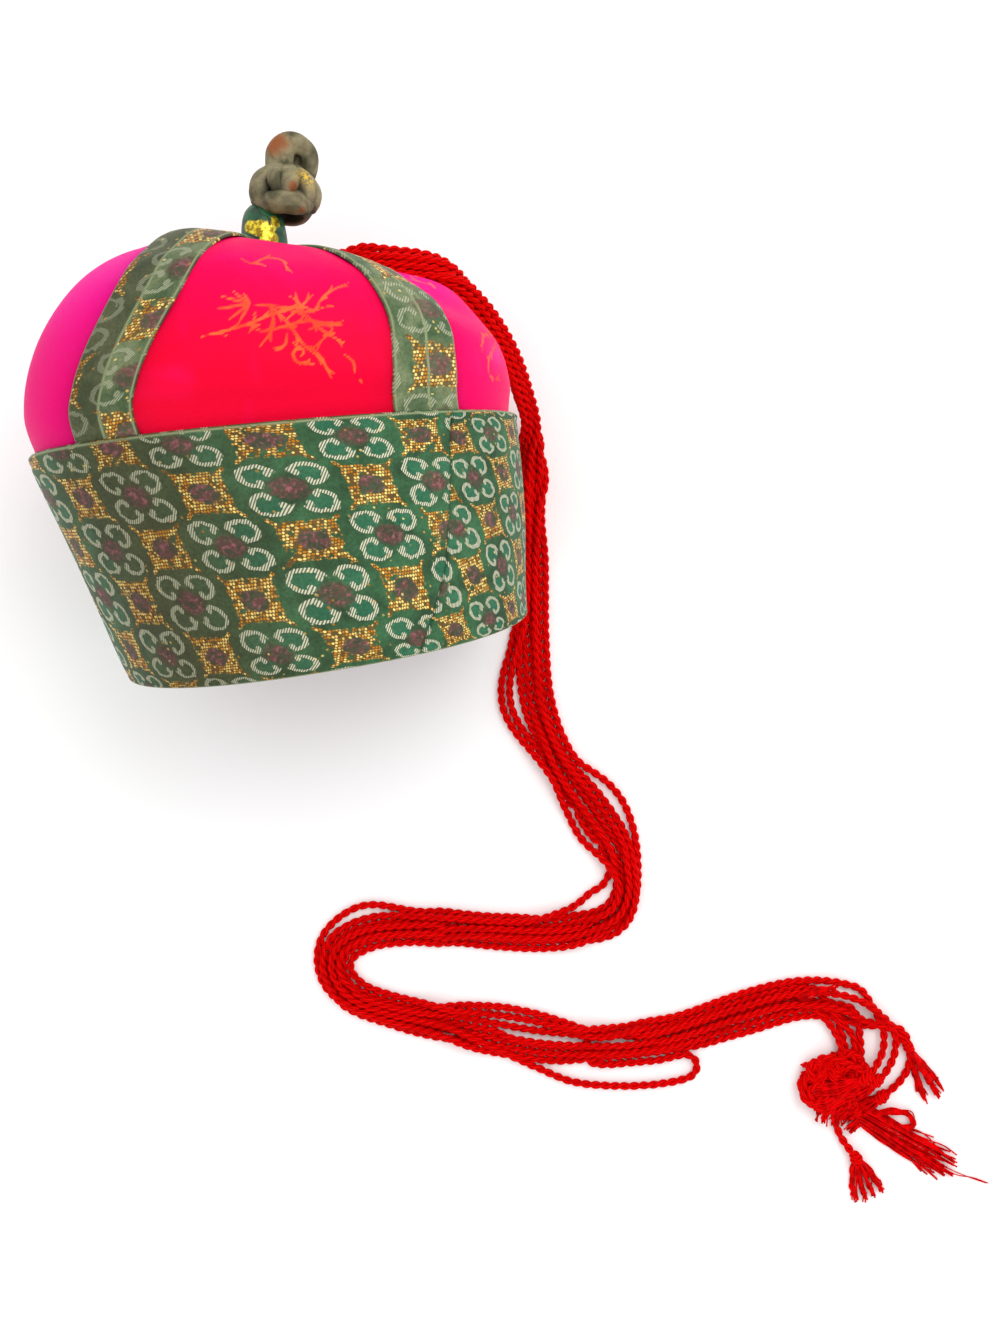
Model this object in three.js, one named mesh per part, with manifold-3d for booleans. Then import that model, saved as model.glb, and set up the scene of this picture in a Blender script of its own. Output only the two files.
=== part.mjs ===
// A soft domed cap that lies on its back: four silk gores with brocade strips over their seams, a tall
// flared brocade band round the head opening, and a button knot of rolled cloth on top. A bundle of
// red twisted cords runs from the knot's foot over the crown to the floor and ends in tassels.
// Millimetres, +Z up. The floor is z = 0, and the origin is below the middle of the cap.

import * as THREE from "three";
import { mergeVertices } from "three/addons/utils/BufferGeometryUtils.js";
import Module from "manifold-3d";

// The cap's forms: the opening inside the band, the band's top edge and the crown above it.
const RIM_WIDTH = 205;
const RIM_DEPTH = 158;
const BAND_HEIGHT = 108;
const BAND_TOP_WIDTH = 242;
const BAND_TOP_DEPTH = 184;
const CROWN_HEIGHT = 82;
const GORE_PUFF = 3;

// The cloth. The tuck is the crown's length inside the band.
const SILK_THICKNESS = 2;
const STRIP_THICKNESS = 1.5;
const BAND_THICKNESS = 2.5;
const STRIP_WIDTH = 35;
const TUCK = 9;
const CLEARANCE = 0.3;
const SEAM_DRIFT = 9;

// The finial: a wrapped collar, a knot woven from a roll of cloth, and a loop of the same roll. The
// shifts carry the knot and the loop to the right.
const COLLAR_RADIUS = 11.5;
const COLLAR_LENGTH = 25;
const KNOT_WIDTH = 37;
const KNOT_HEIGHT = 33;
const ROLL_THICKNESS = 11;
const LOOP_WIDTH = 23;
const LOOP_HEIGHT = 21;
const KNOT_SHIFT = 5;
const LOOP_SHIFT = 4;

// How the cap lies: its axis rises towards the knot, and its front is rolled a little to the right.
const AXIS_RISE = 13;
const FRONT_ROLL = 4;
const RIM_HEIGHT = 74;

// The cords and their tassels.
const BUNDLE_DIAMETER = 13;
const CORD_DIAMETER = 4.2;
const TASSEL_HEAD = 7;
const HEAP_HEIGHT = 13;

// Sections of the band. Up is a share of the band's height, and flare a share of the way from the rim's
// size to the top edge's. Shift is towards the right, as a share of the top edge's width. Lean drops the
// right side, and nod lifts the front, in degrees.
const BAND_ROWS = [
  { up: 0.0, flare: 0.0, shift: -0.014, lean: 4, nod: -1 },
  { up: 0.52, flare: 0.52, shift: -0.012, lean: 5, nod: 3 },
  { up: 1.0, flare: 1.0, shift: -0.02, lean: 7.5, nod: 7 },
];

// Sections of the crown. Up is a share of the crown's height above the band, and wide and deep are
// shares of the top edge's width and depth.
const CROWN_ROWS = [
  { up: 0.25, wide: 0.985, deep: 1.03, shift: -0.012, lean: 9, nod: 8 },
  { up: 0.52, wide: 0.92, deep: 0.98, shift: 0.008, lean: 11, nod: 9 },
  { up: 0.78, wide: 0.77, deep: 0.86, shift: 0.025, lean: 13, nod: 10 },
  { up: 0.94, wide: 0.59, deep: 0.68, shift: 0.035, lean: 15, nod: 10 },
  { up: 1.0, wide: 0.41, deep: 0.46, shift: 0.038, lean: 17, nod: 10 },
  { up: 0.97, wide: 0.24, deep: 0.26, shift: 0.04, lean: 18, nod: 10 },
];

// The flat seat under the collar, as shares of the collar's radius, and its height in the crown.
const SEAT_ROWS = [{ radius: 1.2 }, { radius: 0.4 }];
const SEAT = { up: 0.92, shift: 0.04, lean: 18, nod: 10 };

// Dents and soft folds. A depth below nothing is a bulge, as the back that sags to the floor. Turn is
// in degrees from the front towards the right, along counts sections from the rim, across and tall are
// their half sizes in degrees and sections, and deep is a share of the crown's height.
const DENTS = [
  { turn: 62, along: 5.2, across: 14, tall: 0.9, deep: 0.07 },
  { turn: -30, along: 6.0, across: 16, tall: 0.8, deep: 0.025 },
  { turn: 8, along: 5.6, across: 10, tall: 1.0, deep: 0.03 },
  { turn: 20, along: 3.3, across: 26, tall: 0.5, deep: 0.02 },
  { turn: -82, along: 4.0, across: 9, tall: 1.2, deep: 0.035 },
  { turn: 100, along: 4.2, across: 12, tall: 0.8, deep: 0.04 },
  { turn: 150, along: 5.6, across: 14, tall: 0.8, deep: 0.05 },
  { turn: 205, along: 5.0, across: 12, tall: 0.9, deep: 0.03 },
  { turn: 178, along: 3.7, across: 48, tall: 1.2, deep: -0.085 },
  { turn: -32, along: 6.6, across: 18, tall: 0.8, deep: -0.065 },
];

// The bundle's route, chosen by hand: out of the collar's right side, over the crown's shoulder, down
// to the floor beside the cap and on in two bends to the tassels.
const CORD_ROUTE = [
  [29.6, 71.8, 113.5], [41, 70.2, 112.8], [55, 69, 112.3], [71, 65.5, 111.5], [87, 59, 108],
  [101, 50.5, 102], [112, 41, 92], [122, 28, 76], [129, 13, 57], [132, -3, 38], [133, -20, 22],
  [129, -40, 11.5], [122, -63, 7.6], [114, -98, 6.7], [105, -138, 6.7], [102, -173, 6.7],
  [107, -205, 6.7], [120, -238, 6.7], [129, -263, 6.7], [129, -284, 6.7], [121, -297, 6.7],
  [105, -302, 6.7], [81, -300, 6.7], [53, -293, 6.7], [26, -285, 6.7], [1, -279, 6.7],
  [-22, -277, 6.7], [-39, -283, 6.7], [-44, -296, 6.7], [-37, -311, 6.7], [-17, -325, 6.7],
  [9, -337, 6.7], [41, -350, 6.7], [73, -362, 6.7], [106, -370, 6.7], [140, -372, 6.7],
  [173, -369, 6.7], [213, -368, 6.7], [239, -377, 6.7], [255, -390, 6.7],
];

// The tassels that lie clear of the others. The lead is the cord's last points on the floor, and its end
// is the tassel's head. Wide is the skirt's width at the tip, and rise is the height that it lies at.
const TASSELS = [
  { name: "tassel_right", lead: [[256, -391], [262, -399], [266, -407]], tip: [275, -441], wide: 15, rise: 0 },
  { name: "tassel_long", lead: [[228, -440], [235, -447], [240, -452]], tip: [277, -481], wide: 15, rise: 0 },
  { name: "tassel_near", lead: [[213, -440], [219, -454], [223, -463]], tip: [225, -487], wide: 21, rise: 0 },
];

// The other tassels lie in one tangled heap round a thick middle.
const HEAP = [
  { lead: [[262, -401], [264, -413], [258, -424], [249, -433]], tip: [221, -444], wide: 18, rise: 0 },
  { lead: [[226, -377], [230, -390], [229, -408], [224, -420]], tip: [194, -409], wide: 17, rise: 1 },
  { lead: [[204, -401], [210, -402], [215, -408]], tip: [217, -443], wide: 18, rise: 2 },
  { lead: [[251, -404], [243, -408], [235, -412]], tip: [199, -427], wide: 18, rise: 4 },
  { lead: [[243, -385], [250, -398], [249, -412], [241, -421]], tip: [208, -436], wide: 18, rise: 6 },
];
const HEAP_MIDDLE = [225, -423];
const HEAP_REACH = [18, 14];

const TWO_SIDES = 2;
const SEAMS = ["front_right", "back_right", "back_left", "front_left"];
const GORES = ["right", "back", "left", "front"];
const BAND_TOP = BAND_ROWS.length - 1;
const degrees = THREE.MathUtils.degToRad;

const wasm = await Module();
wasm.setup();

// Offsets of each layer from the silk's outer face.
const STRIP_INNER = CLEARANCE;
const STRIP_OUTER = STRIP_INNER + STRIP_THICKNESS;
const BAND_INNER = STRIP_OUTER + 2 * CLEARANCE;
const BAND_OUTER = BAND_INNER + BAND_THICKNESS;

const COLOURS = {
  silk: { color: 0xf0124a, roughness: 0.45, metalness: 0 },
  brocade: { color: 0x3c7a58, roughness: 0.6, metalness: 0.1 },
  foil: { color: 0x1f6a48, roughness: 0.4, metalness: 0.4 },
  roll: { color: 0x77735a, roughness: 0.75, metalness: 0 },
  cord: { color: 0xd80b12, roughness: 0.7, metalness: 0 },
};

function absoluteSections() {
  const inside = BAND_INNER;
  const band = BAND_ROWS.map((row) => ({
    ...row,
    x: row.shift * BAND_TOP_WIDTH,
    z: row.up * BAND_HEIGHT,
    wide: THREE.MathUtils.lerp(RIM_WIDTH, BAND_TOP_WIDTH, row.flare) / 2 - inside,
    deep: THREE.MathUtils.lerp(RIM_DEPTH, BAND_TOP_DEPTH, row.flare) / 2 - inside,
  }));
  const crown = CROWN_ROWS.map((row) => ({
    ...row,
    x: row.shift * BAND_TOP_WIDTH,
    z: BAND_HEIGHT + row.up * CROWN_HEIGHT,
    wide: (row.wide * BAND_TOP_WIDTH) / 2,
    deep: (row.deep * BAND_TOP_DEPTH) / 2,
  }));
  const seat = SEAT_ROWS.map((row) => ({
    ...SEAT,
    x: SEAT.shift * BAND_TOP_WIDTH,
    z: BAND_HEIGHT + SEAT.up * CROWN_HEIGHT,
    wide: row.radius * COLLAR_RADIUS,
    deep: row.radius * COLLAR_RADIUS,
  }));
  return [...band, ...crown, ...seat];
}

const SECTIONS = absoluteSections();
const APEX = SECTIONS.length - 1;
const tracks = {};
for (const key of ["x", "z", "lean", "nod", "wide", "deep"]) {
  tracks[key] = new THREE.SplineCurve(SECTIONS.map((row, i) => new THREE.Vector2(i, row[key])));
}
const track = (key, along) => tracks[key].getPoint(along / APEX).y;

// The cap stands in its own frame: +X right, -Y front, +Z from the rim to the knot.
const lying = new THREE.Group();
lying.rotation.set(degrees(AXIS_RISE - 90), 0, degrees(FRONT_ROLL));
lying.position.z = RIM_HEIGHT;
lying.updateMatrix();
const skyward = new THREE.Vector3(0, 0, 1).applyQuaternion(lying.quaternion.clone().invert());

// A section's centre and its directions to the right and to the front.
function sectionFrame(along) {
  const lean = degrees(track("lean", along));
  const nod = degrees(track("nod", along));
  return {
    centre: new THREE.Vector3(track("x", along), 0, track("z", along)),
    right: new THREE.Vector3(Math.cos(lean), 0, -Math.sin(lean)),
    front: new THREE.Vector3(0, -Math.cos(nod), Math.sin(nod)),
  };
}

// The plan is a rounded oval, a little squarer than an ellipse at the four seams.
const PLAN_POWER = 0.88;
const oval = (share) => Math.sign(share) * Math.abs(share) ** PLAN_POWER;

function plainSurface(turn, along) {
  const { centre, right, front } = sectionFrame(along);
  return centre
    .addScaledVector(right, oval(Math.sin(turn)) * track("wide", along))
    .addScaledVector(front, oval(Math.cos(turn)) * track("deep", along));
}

const STEP = 0.01;
function outward(turn, along) {
  const low = Math.max(0, along - STEP);
  const high = Math.min(APEX, along + STEP);
  const across = plainSurface(turn + STEP, along).sub(plainSurface(turn - STEP, along));
  const upward = plainSurface(turn, high).sub(plainSurface(turn, low));
  return across.cross(upward).normalize();
}

function angleBetween(turn, other) {
  const whole = 2 * Math.PI;
  const difference = (((turn - other) % whole) + whole + Math.PI) % whole;
  return difference - Math.PI;
}

// A seam's turn. Seams start a little nearer to the front and the back than a quarter turn apart,
// because the cap lies flattened, and they are square to each other at the apex.
// Up the crown the two front seams swing to the right, by these degrees in the order of the seams.
const SEAM_SWING = [4, 0, 0, 11];
function seamTurn(seam, along) {
  const square = degrees(45 + 90 * seam);
  const towardsEnds = seam % 2 === 0 ? -1 : 1;
  const drawn = 1 - THREE.MathUtils.smoothstep(along, APEX - 3, APEX - 0.5);
  const swing = THREE.MathUtils.smoothstep(along, BAND_TOP, BAND_TOP + 3);
  const most = SEAM_SWING[(seam + SEAMS.length) % SEAMS.length];
  return square + degrees(towardsEnds * SEAM_DRIFT + most * swing) * drawn;
}

// How far the cloth stands out of the plain surface: the gores' puff and the dents.
function relief(turn, along) {
  const above = THREE.MathUtils.smoothstep(along, BAND_TOP, BAND_TOP + 1.5);
  const flat = 1 - THREE.MathUtils.smoothstep(along, APEX - 3, APEX - 1);
  let height = GORE_PUFF * Math.cos(2 * turn) ** 2 * above * flat;
  for (const dent of DENTS) {
    const across = angleBetween(turn, degrees(dent.turn)) / degrees(dent.across);
    const tall = (along - dent.along) / dent.tall;
    height -= dent.deep * CROWN_HEIGHT * above * Math.exp(-(across ** 2) - tall ** 2);
  }
  return height;
}

// The floor flattens the cloth on it: the band rests on it, and above the band the strips do.
const FLOOR_ROUNDING = 2;
function layOnFloor(point, offset, along) {
  const above = THREE.MathUtils.smoothstep(along, BAND_TOP, BAND_TOP + 1);
  const outermost = THREE.MathUtils.lerp(BAND_OUTER, STRIP_OUTER, above);
  const least = outermost - offset;
  const height = point.dot(skyward) + RIM_HEIGHT;
  const past = THREE.MathUtils.clamp(height - least, -FLOOR_ROUNDING, FLOOR_ROUNDING);
  const rounded = (past + FLOOR_ROUNDING) ** 2 / (4 * FLOOR_ROUNDING);
  const raised = Math.max(height, least + rounded);
  return point.addScaledVector(skyward, raised - height);
}

function clothPoint(turn, along, offset) {
  const point = plainSurface(turn, along);
  point.addScaledVector(outward(turn, along), offset + relief(turn, along));
  return layOnFloor(point, offset, along);
}

// The turn that a length along the surface makes, beside a given turn.
function turnOf(length, turn, along) {
  const step = plainSurface(turn + STEP, along).distanceTo(plainSurface(turn - STEP, along));
  return (length * 2 * STEP) / step;
}

// A wall of cloth from one turn to another, as a closed mesh. A ring of cloth goes all the way round.
function clothWall({ from, to, low, high, inner, outer, columns, rows, ring = false }) {
  const offsets = [outer, inner];
  const across = ring ? columns : columns + 1;
  const positions = [];
  for (const offset of offsets) {
    for (let i = 0; i <= rows; i++) {
      const along = THREE.MathUtils.lerp(low, high, i / rows);
      for (let j = 0; j < across; j++) {
        const turn = THREE.MathUtils.lerp(from(along), to(along), j / columns);
        positions.push(...clothPoint(turn, along, offset).toArray());
      }
    }
  }
  const at = (side, i, j) => (side * (rows + 1) + i) * across + (j % across);
  const faces = [];
  const quad = (a, b, c, d) => faces.push(a, b, c, a, c, d);
  for (let j = 0; j < columns; j++) {
    for (let i = 0; i < rows; i++) {
      quad(at(0, i, j), at(0, i, j + 1), at(0, i + 1, j + 1), at(0, i + 1, j));
      quad(at(1, i, j), at(1, i + 1, j), at(1, i + 1, j + 1), at(1, i, j + 1));
    }
    quad(at(0, 0, j + 1), at(0, 0, j), at(1, 0, j), at(1, 0, j + 1));
    quad(at(0, rows, j), at(0, rows, j + 1), at(1, rows, j + 1), at(1, rows, j));
  }
  for (let i = 0; i < rows && !ring; i++) {
    quad(at(1, i, 0), at(0, i, 0), at(0, i + 1, 0), at(1, i + 1, 0));
    quad(at(0, i, columns), at(1, i, columns), at(1, i + 1, columns), at(0, i + 1, columns));
  }
  const geometry = new THREE.BufferGeometry();
  geometry.setAttribute("position", new THREE.Float32BufferAttribute(positions, 3));
  return geometry.setIndex(faces);
}

// Where a length down from the band's top edge lies, counted in sections.
function belowBandTop(length) {
  const rise = SECTIONS[BAND_TOP].z - SECTIONS[BAND_TOP - 1].z;
  return BAND_TOP - length / rise;
}

const GORE_COLUMNS = 8;
const CROWN_WALL_ROWS = 16;
function gore(seam) {
  const half = CLEARANCE / TWO_SIDES;
  const start = (along) => seamTurn(seam, along);
  const end = (along) => seamTurn(seam + 1, along);
  return clothWall({
    from: (along) => start(along) + turnOf(half, start(along), along),
    to: (along) => end(along) - turnOf(half, end(along), along),
    low: belowBandTop(TUCK),
    high: APEX,
    inner: -SILK_THICKNESS,
    outer: 0,
    columns: GORE_COLUMNS,
    rows: CROWN_WALL_ROWS,
  });
}

// A strip keeps its width up the crown until it meets its neighbours in mitres round the apex.
const STRIP_COLUMNS = 4;
function seamStrip(seam) {
  const edge = (along, side) => {
    const middle = seamTurn(seam, along);
    const mitre = (middle + seamTurn(seam + side, along)) / 2;
    const wanted = turnOf(STRIP_WIDTH / TWO_SIDES, middle, along);
    const free = Math.abs(mitre - middle) - turnOf(CLEARANCE, mitre, along);
    return middle + side * Math.min(wanted, free);
  };
  return clothWall({
    from: (along) => edge(along, -1),
    to: (along) => edge(along, 1),
    low: belowBandTop(TUCK),
    high: APEX,
    inner: STRIP_INNER,
    outer: STRIP_OUTER,
    columns: STRIP_COLUMNS,
    rows: CROWN_WALL_ROWS,
  });
}

const BAND_COLUMNS = 64;
const BAND_WALL_ROWS = 5;
function brimBand() {
  return clothWall({
    from: () => 0,
    to: () => 2 * Math.PI,
    low: 0,
    high: BAND_TOP,
    inner: BAND_INNER,
    outer: BAND_OUTER,
    columns: BAND_COLUMNS,
    rows: BAND_WALL_ROWS,
    ring: true,
  });
}

function solidOf(geometry) {
  const bare = geometry.clone();
  bare.deleteAttribute("normal");
  bare.deleteAttribute("uv");
  const merged = mergeVertices(bare, 1e-3);
  return new wasm.Manifold(
    new wasm.Mesh({
      numProp: 3,
      vertProperties: merged.attributes.position.array,
      triVerts: new Uint32Array(merged.index.array),
    }),
  );
}

const FINENESS = 0.15;
function geometryOf(solid) {
  const mesh = solid.simplify(FINENESS).getMesh();
  const geometry = new THREE.BufferGeometry();
  geometry.setAttribute("position", new THREE.BufferAttribute(mesh.vertProperties, 3));
  return geometry.setIndex(new THREE.BufferAttribute(mesh.triVerts, 1));
}

const joined = (solids) => solids.reduce((all, solid) => all.add(solid));

// A round rope along a curve.
function rope(curve, radius, sides, steps) {
  const section = new THREE.Shape();
  for (let i = 0; i < sides; i++) {
    const angle = (2 * Math.PI * i) / sides;
    const point = [radius * Math.cos(angle), radius * Math.sin(angle)];
    if (i === 0) section.moveTo(...point);
    else section.lineTo(...point);
  }
  section.closePath();
  return new THREE.ExtrudeGeometry(section, { steps, extrudePath: curve });
}

// The collar: two turns of cloth wrapped round the finial's foot. Out is a share of its radius.
const COLLAR_PROFILE = [
  { up: 0.0, out: 0.93 },
  { up: 0.1, out: 1.0 },
  { up: 0.36, out: 0.98 },
  { up: 0.44, out: 0.92 },
  { up: 0.52, out: 0.98 },
  { up: 0.82, out: 0.96 },
  { up: 1.0, out: 0.86 },
];
function collar() {
  const outline = COLLAR_PROFILE.map(
    ({ up, out }) => new THREE.Vector2(out * COLLAR_RADIUS, up * COLLAR_LENGTH),
  );
  const bottom = new THREE.Vector2(0, 0);
  const top = new THREE.Vector2(0, COLLAR_LENGTH);
  return new THREE.LatheGeometry([bottom, ...outline, top], 16).rotateX(Math.PI / 2);
}

// The roll's route round the button knot: three leads and four bights, over and under in turn.
const LEADS = 3;
const BIGHTS = 4;
const WEAVE = 0.09;
const BIGHT_REACH = degrees(52);
function knotPoint(share, grow = 0) {
  const time = 2 * Math.PI * share;
  const turn = LEADS * time;
  const tilt = BIGHT_REACH * Math.sin(BIGHTS * time);
  const out = 1 + WEAVE * Math.cos(2 * BIGHTS * time);
  const wide = (KNOT_WIDTH - ROLL_THICKNESS) / 2 + grow;
  const high = (KNOT_HEIGHT - ROLL_THICKNESS) / 2 + grow;
  const flat = out * wide * Math.cos(tilt);
  return new THREE.Vector3(flat * Math.cos(turn), flat * Math.sin(turn), out * high * Math.sin(tilt));
}

// A stretch of a route given as a function of its share.
class Stretch extends THREE.Curve {
  constructor(route, start, end) {
    super();
    Object.assign(this, { route, start, end });
  }

  getPoint(share) {
    return this.route(THREE.MathUtils.lerp(this.start, this.end, share));
  }
}

const KNOT_CORE_HEIGHT = KNOT_HEIGHT - ROLL_THICKNESS / 3;
const KNOT_STRETCHES = 8;
const STRETCH_STEPS = 5;
const KNOT_OVERLAP = 0.008;
const ROLL_SIDES = 6;
function buttonKnot(grow = 0) {
  const radius = ROLL_THICKNESS / 2 + grow;
  const stretches = [];
  for (let i = 0; i < KNOT_STRETCHES; i++) {
    const start = i / KNOT_STRETCHES - KNOT_OVERLAP;
    const end = (i + 1) / KNOT_STRETCHES + KNOT_OVERLAP;
    const stretch = new Stretch(knotPoint, start, end);
    stretches.push(solidOf(rope(stretch, radius, ROLL_SIDES, STRETCH_STEPS)));
  }
  const wide = (KNOT_WIDTH - ROLL_THICKNESS / 2) / 2 + grow;
  const core = new THREE.IcosahedronGeometry(1, 1);
  core.scale(wide, wide, KNOT_CORE_HEIGHT / 2 + grow);
  return joined([...stretches, solidOf(core)]);
}

// The loop stands on the knot, in the plane that faces the front.
const LOOP_STEPS = 18;
function loopRoll() {
  const wide = (LOOP_WIDTH - ROLL_THICKNESS * 0.92) / 2;
  const high = (LOOP_HEIGHT - ROLL_THICKNESS * 0.92) / 2;
  const middle = KNOT_HEIGHT / 2 + LOOP_HEIGHT / 2 - ROLL_THICKNESS * 0.42;
  const route = (share) => {
    const angle = degrees(-75 + 330 * share);
    const back = 2.5 * Math.sin(Math.PI * share);
    const across = LOOP_SHIFT + wide * Math.cos(angle);
    return new THREE.Vector3(across, back, middle + high * Math.sin(angle));
  };
  const roll = rope(new Stretch(route, 0, 1), ROLL_THICKNESS * 0.46, ROLL_SIDES, LOOP_STEPS);
  return solidOf(roll).subtract(buttonKnot(CLEARANCE));
}

function mesh(name, geometry, colour) {
  const material = new THREE.MeshStandardMaterial(COLOURS[colour]);
  const made = new THREE.Mesh(geometry, material);
  made.name = name;
  return made;
}

// The finial stands square on the seat, clear of the strips' outer faces.
function finial() {
  const group = new THREE.Group();
  const { centre, right, front } = sectionFrame(APEX);
  const up = new THREE.Vector3().crossVectors(front, right).normalize();
  const back = front.clone().negate();
  group.quaternion.setFromRotationMatrix(new THREE.Matrix4().makeBasis(right, back, up));
  group.position.copy(centre).addScaledVector(up, STRIP_OUTER + 2 * CLEARANCE);
  const knot = new THREE.Group();
  knot.position.set(KNOT_SHIFT, 0, COLLAR_LENGTH + CLEARANCE + KNOT_CORE_HEIGHT / 2);
  knot.add(mesh("knot_ball", geometryOf(buttonKnot()), "roll"));
  knot.add(mesh("knot_loop", geometryOf(loopRoll()), "roll"));
  group.add(mesh("knot_collar", collar(), "foil"), knot);
  return group;
}

function cap() {
  const group = lying;
  SEAMS.forEach((place, seam) => {
    group.add(mesh(`crown_gore_${GORES[seam]}`, gore(seam), "silk"));
    group.add(mesh(`seam_strip_${place}`, seamStrip(seam), "brocade"));
  });
  group.add(mesh("brim_band", brimBand(), "brocade"));
  group.add(finial());
  return group;
}

const BUNDLE_SIDES = 8;
const BUNDLE_STEPS = 72;
const bundleCurve = new THREE.CatmullRomCurve3(
  CORD_ROUTE.map((point) => new THREE.Vector3(...point)),
  false,
  "centripetal",
);
function cordBundle(grow = 0) {
  return rope(bundleCurve, BUNDLE_DIAMETER / 2 + grow, BUNDLE_SIDES, BUNDLE_STEPS);
}

// The bundle with a margin round it, to cut its neighbours clear of it.
function bundleRoom() {
  const radius = BUNDLE_DIAMETER / 2 + CLEARANCE;
  const end = new THREE.IcosahedronGeometry(radius, 2);
  end.translate(...CORD_ROUTE.at(-1));
  return joined([solidOf(cordBundle(CLEARANCE)), solidOf(end)]);
}

// A lock of frayed strands from a root to a tip, flat on the floor. Share is along it, out is a share
// of its half width.
const LOCK_PROFILE = [
  { share: 0.0, out: 0.45 },
  { share: 0.45, out: 0.8 },
  { share: 0.9, out: 1.0 },
  { share: 1.0, out: 0.6 },
];
const LOCK_SIDES = 5;
const LOCK_FLATNESS = 0.7;
function lock(root, tip, halfWidth, floor, grow) {
  const length = Math.hypot(tip[0] - root[0], tip[1] - root[1]);
  const outline = LOCK_PROFILE.map(
    ({ share, out }) => new THREE.Vector2(out * halfWidth + grow, share * length),
  );
  const ends = [new THREE.Vector2(0, -grow), new THREE.Vector2(0, length + grow)];
  const shape = new THREE.LatheGeometry([ends[0], ...outline, ends[1]], LOCK_SIDES);
  shape.scale(1, 1, LOCK_FLATNESS);
  shape.rotateZ(Math.atan2(tip[1] - root[1], tip[0] - root[0]) - Math.PI / 2);
  const height = halfWidth * LOCK_FLATNESS + floor;
  return solidOf(shape.translate(root[0], root[1], height));
}

const TASSEL_LOCKS = 4;
const LOCK_SPREAD = 1.6;
const LEAD_STEPS = 6;
const LEAD_SIDES = 6;
function tassel({ lead, tip, wide, rise }, grow = 0) {
  const radius = CORD_DIAMETER / 2;
  const floor = CLEARANCE + rise;
  const points = lead.map(([x, y]) => new THREE.Vector3(x, y, radius + floor));
  const curve = new THREE.CatmullRomCurve3(points, false, "centripetal");
  const cord = rope(curve, radius + grow, LEAD_SIDES, LEAD_STEPS);
  const root = lead.at(-1);
  const head = new THREE.IcosahedronGeometry(TASSEL_HEAD / 2 + grow, 1);
  head.translate(root[0], root[1], TASSEL_HEAD / 2 + floor);
  const along = new THREE.Vector2(tip[0] - root[0], tip[1] - root[1]);
  const across = new THREE.Vector2(-along.y, along.x).normalize();
  const halfLock = wide / TASSEL_LOCKS / LOCK_SPREAD;
  const locks = [];
  for (let i = 0; i < TASSEL_LOCKS; i++) {
    const side = (i + 0.5) / TASSEL_LOCKS - 0.5;
    const shorter = 1 - 0.12 * (i % 2);
    const end = along.clone().multiplyScalar(shorter).addScaledVector(across, side * wide);
    locks.push(lock(root, [root[0] + end.x, root[1] + end.y], halfLock, floor, grow));
  }
  return joined([solidOf(cord), solidOf(head), ...locks]);
}

function tangledHeap(grow = 0) {
  const core = new THREE.IcosahedronGeometry(1, 1);
  const half = HEAP_HEIGHT / 2;
  core.scale(HEAP_REACH[0] + grow, HEAP_REACH[1] + grow, half + grow);
  core.translate(...HEAP_MIDDLE, half + CLEARANCE);
  return joined([solidOf(core), ...HEAP.map((row) => tassel(row, grow))]);
}

const largest = (solid) => solid.decompose().sort((a, b) => b.volume() - a.volume())[0];

function cords() {
  const room = bundleRoom();
  const heapRoom = tangledHeap(CLEARANCE);
  const loose = TASSELS.map((row) => {
    const free = tassel(row).subtract(room).subtract(heapRoom);
    return mesh(row.name, geometryOf(largest(free)), "cord");
  });
  const heap = mesh("tassel_heap", geometryOf(largest(tangledHeap().subtract(room))), "cord");
  return [mesh("cord_bundle", cordBundle(), "cord"), heap, ...loose];
}

const hat = new THREE.Group();
const body = cap();
hat.add(body);
hat.updateMatrixWorld(true);
const box = new THREE.Box3().setFromObject(body, true);
const middle = box.getCenter(new THREE.Vector3());
body.position.sub(new THREE.Vector3(middle.x, middle.y, box.min.z));
hat.add(...cords());

export default hat;
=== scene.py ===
"""A soft domed cap of silk and brocade on its back, with a button knot and red cords."""

import math

import bpy
import numpy as np
from mathutils import Matrix, Vector
from mathutils.bvhtree import BVHTree


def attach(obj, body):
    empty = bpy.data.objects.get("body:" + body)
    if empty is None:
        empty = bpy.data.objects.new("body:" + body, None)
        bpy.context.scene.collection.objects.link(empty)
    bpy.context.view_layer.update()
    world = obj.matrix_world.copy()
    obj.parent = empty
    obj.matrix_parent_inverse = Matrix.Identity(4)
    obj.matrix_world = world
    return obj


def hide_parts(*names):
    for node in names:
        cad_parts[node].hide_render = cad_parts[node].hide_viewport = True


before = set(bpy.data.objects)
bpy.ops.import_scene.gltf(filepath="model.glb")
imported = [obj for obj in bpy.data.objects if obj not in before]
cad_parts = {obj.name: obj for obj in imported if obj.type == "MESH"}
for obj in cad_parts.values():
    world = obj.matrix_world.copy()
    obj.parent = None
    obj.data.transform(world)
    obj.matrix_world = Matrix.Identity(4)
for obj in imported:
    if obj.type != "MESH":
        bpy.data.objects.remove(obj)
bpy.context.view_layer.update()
scene = bpy.context.scene
MM = 0.001
random = np.random.default_rng(7)

# The camera looks almost straight down. Its up direction is turned a little from +Y towards +X.
EYE = Vector((0.0825, -0.1604, 0.862))
PITCH, LEAN = math.radians(89), math.radians(12.5)
FOCAL_PIXELS, PICTURE_HEIGHT = 1500, 1333


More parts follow.
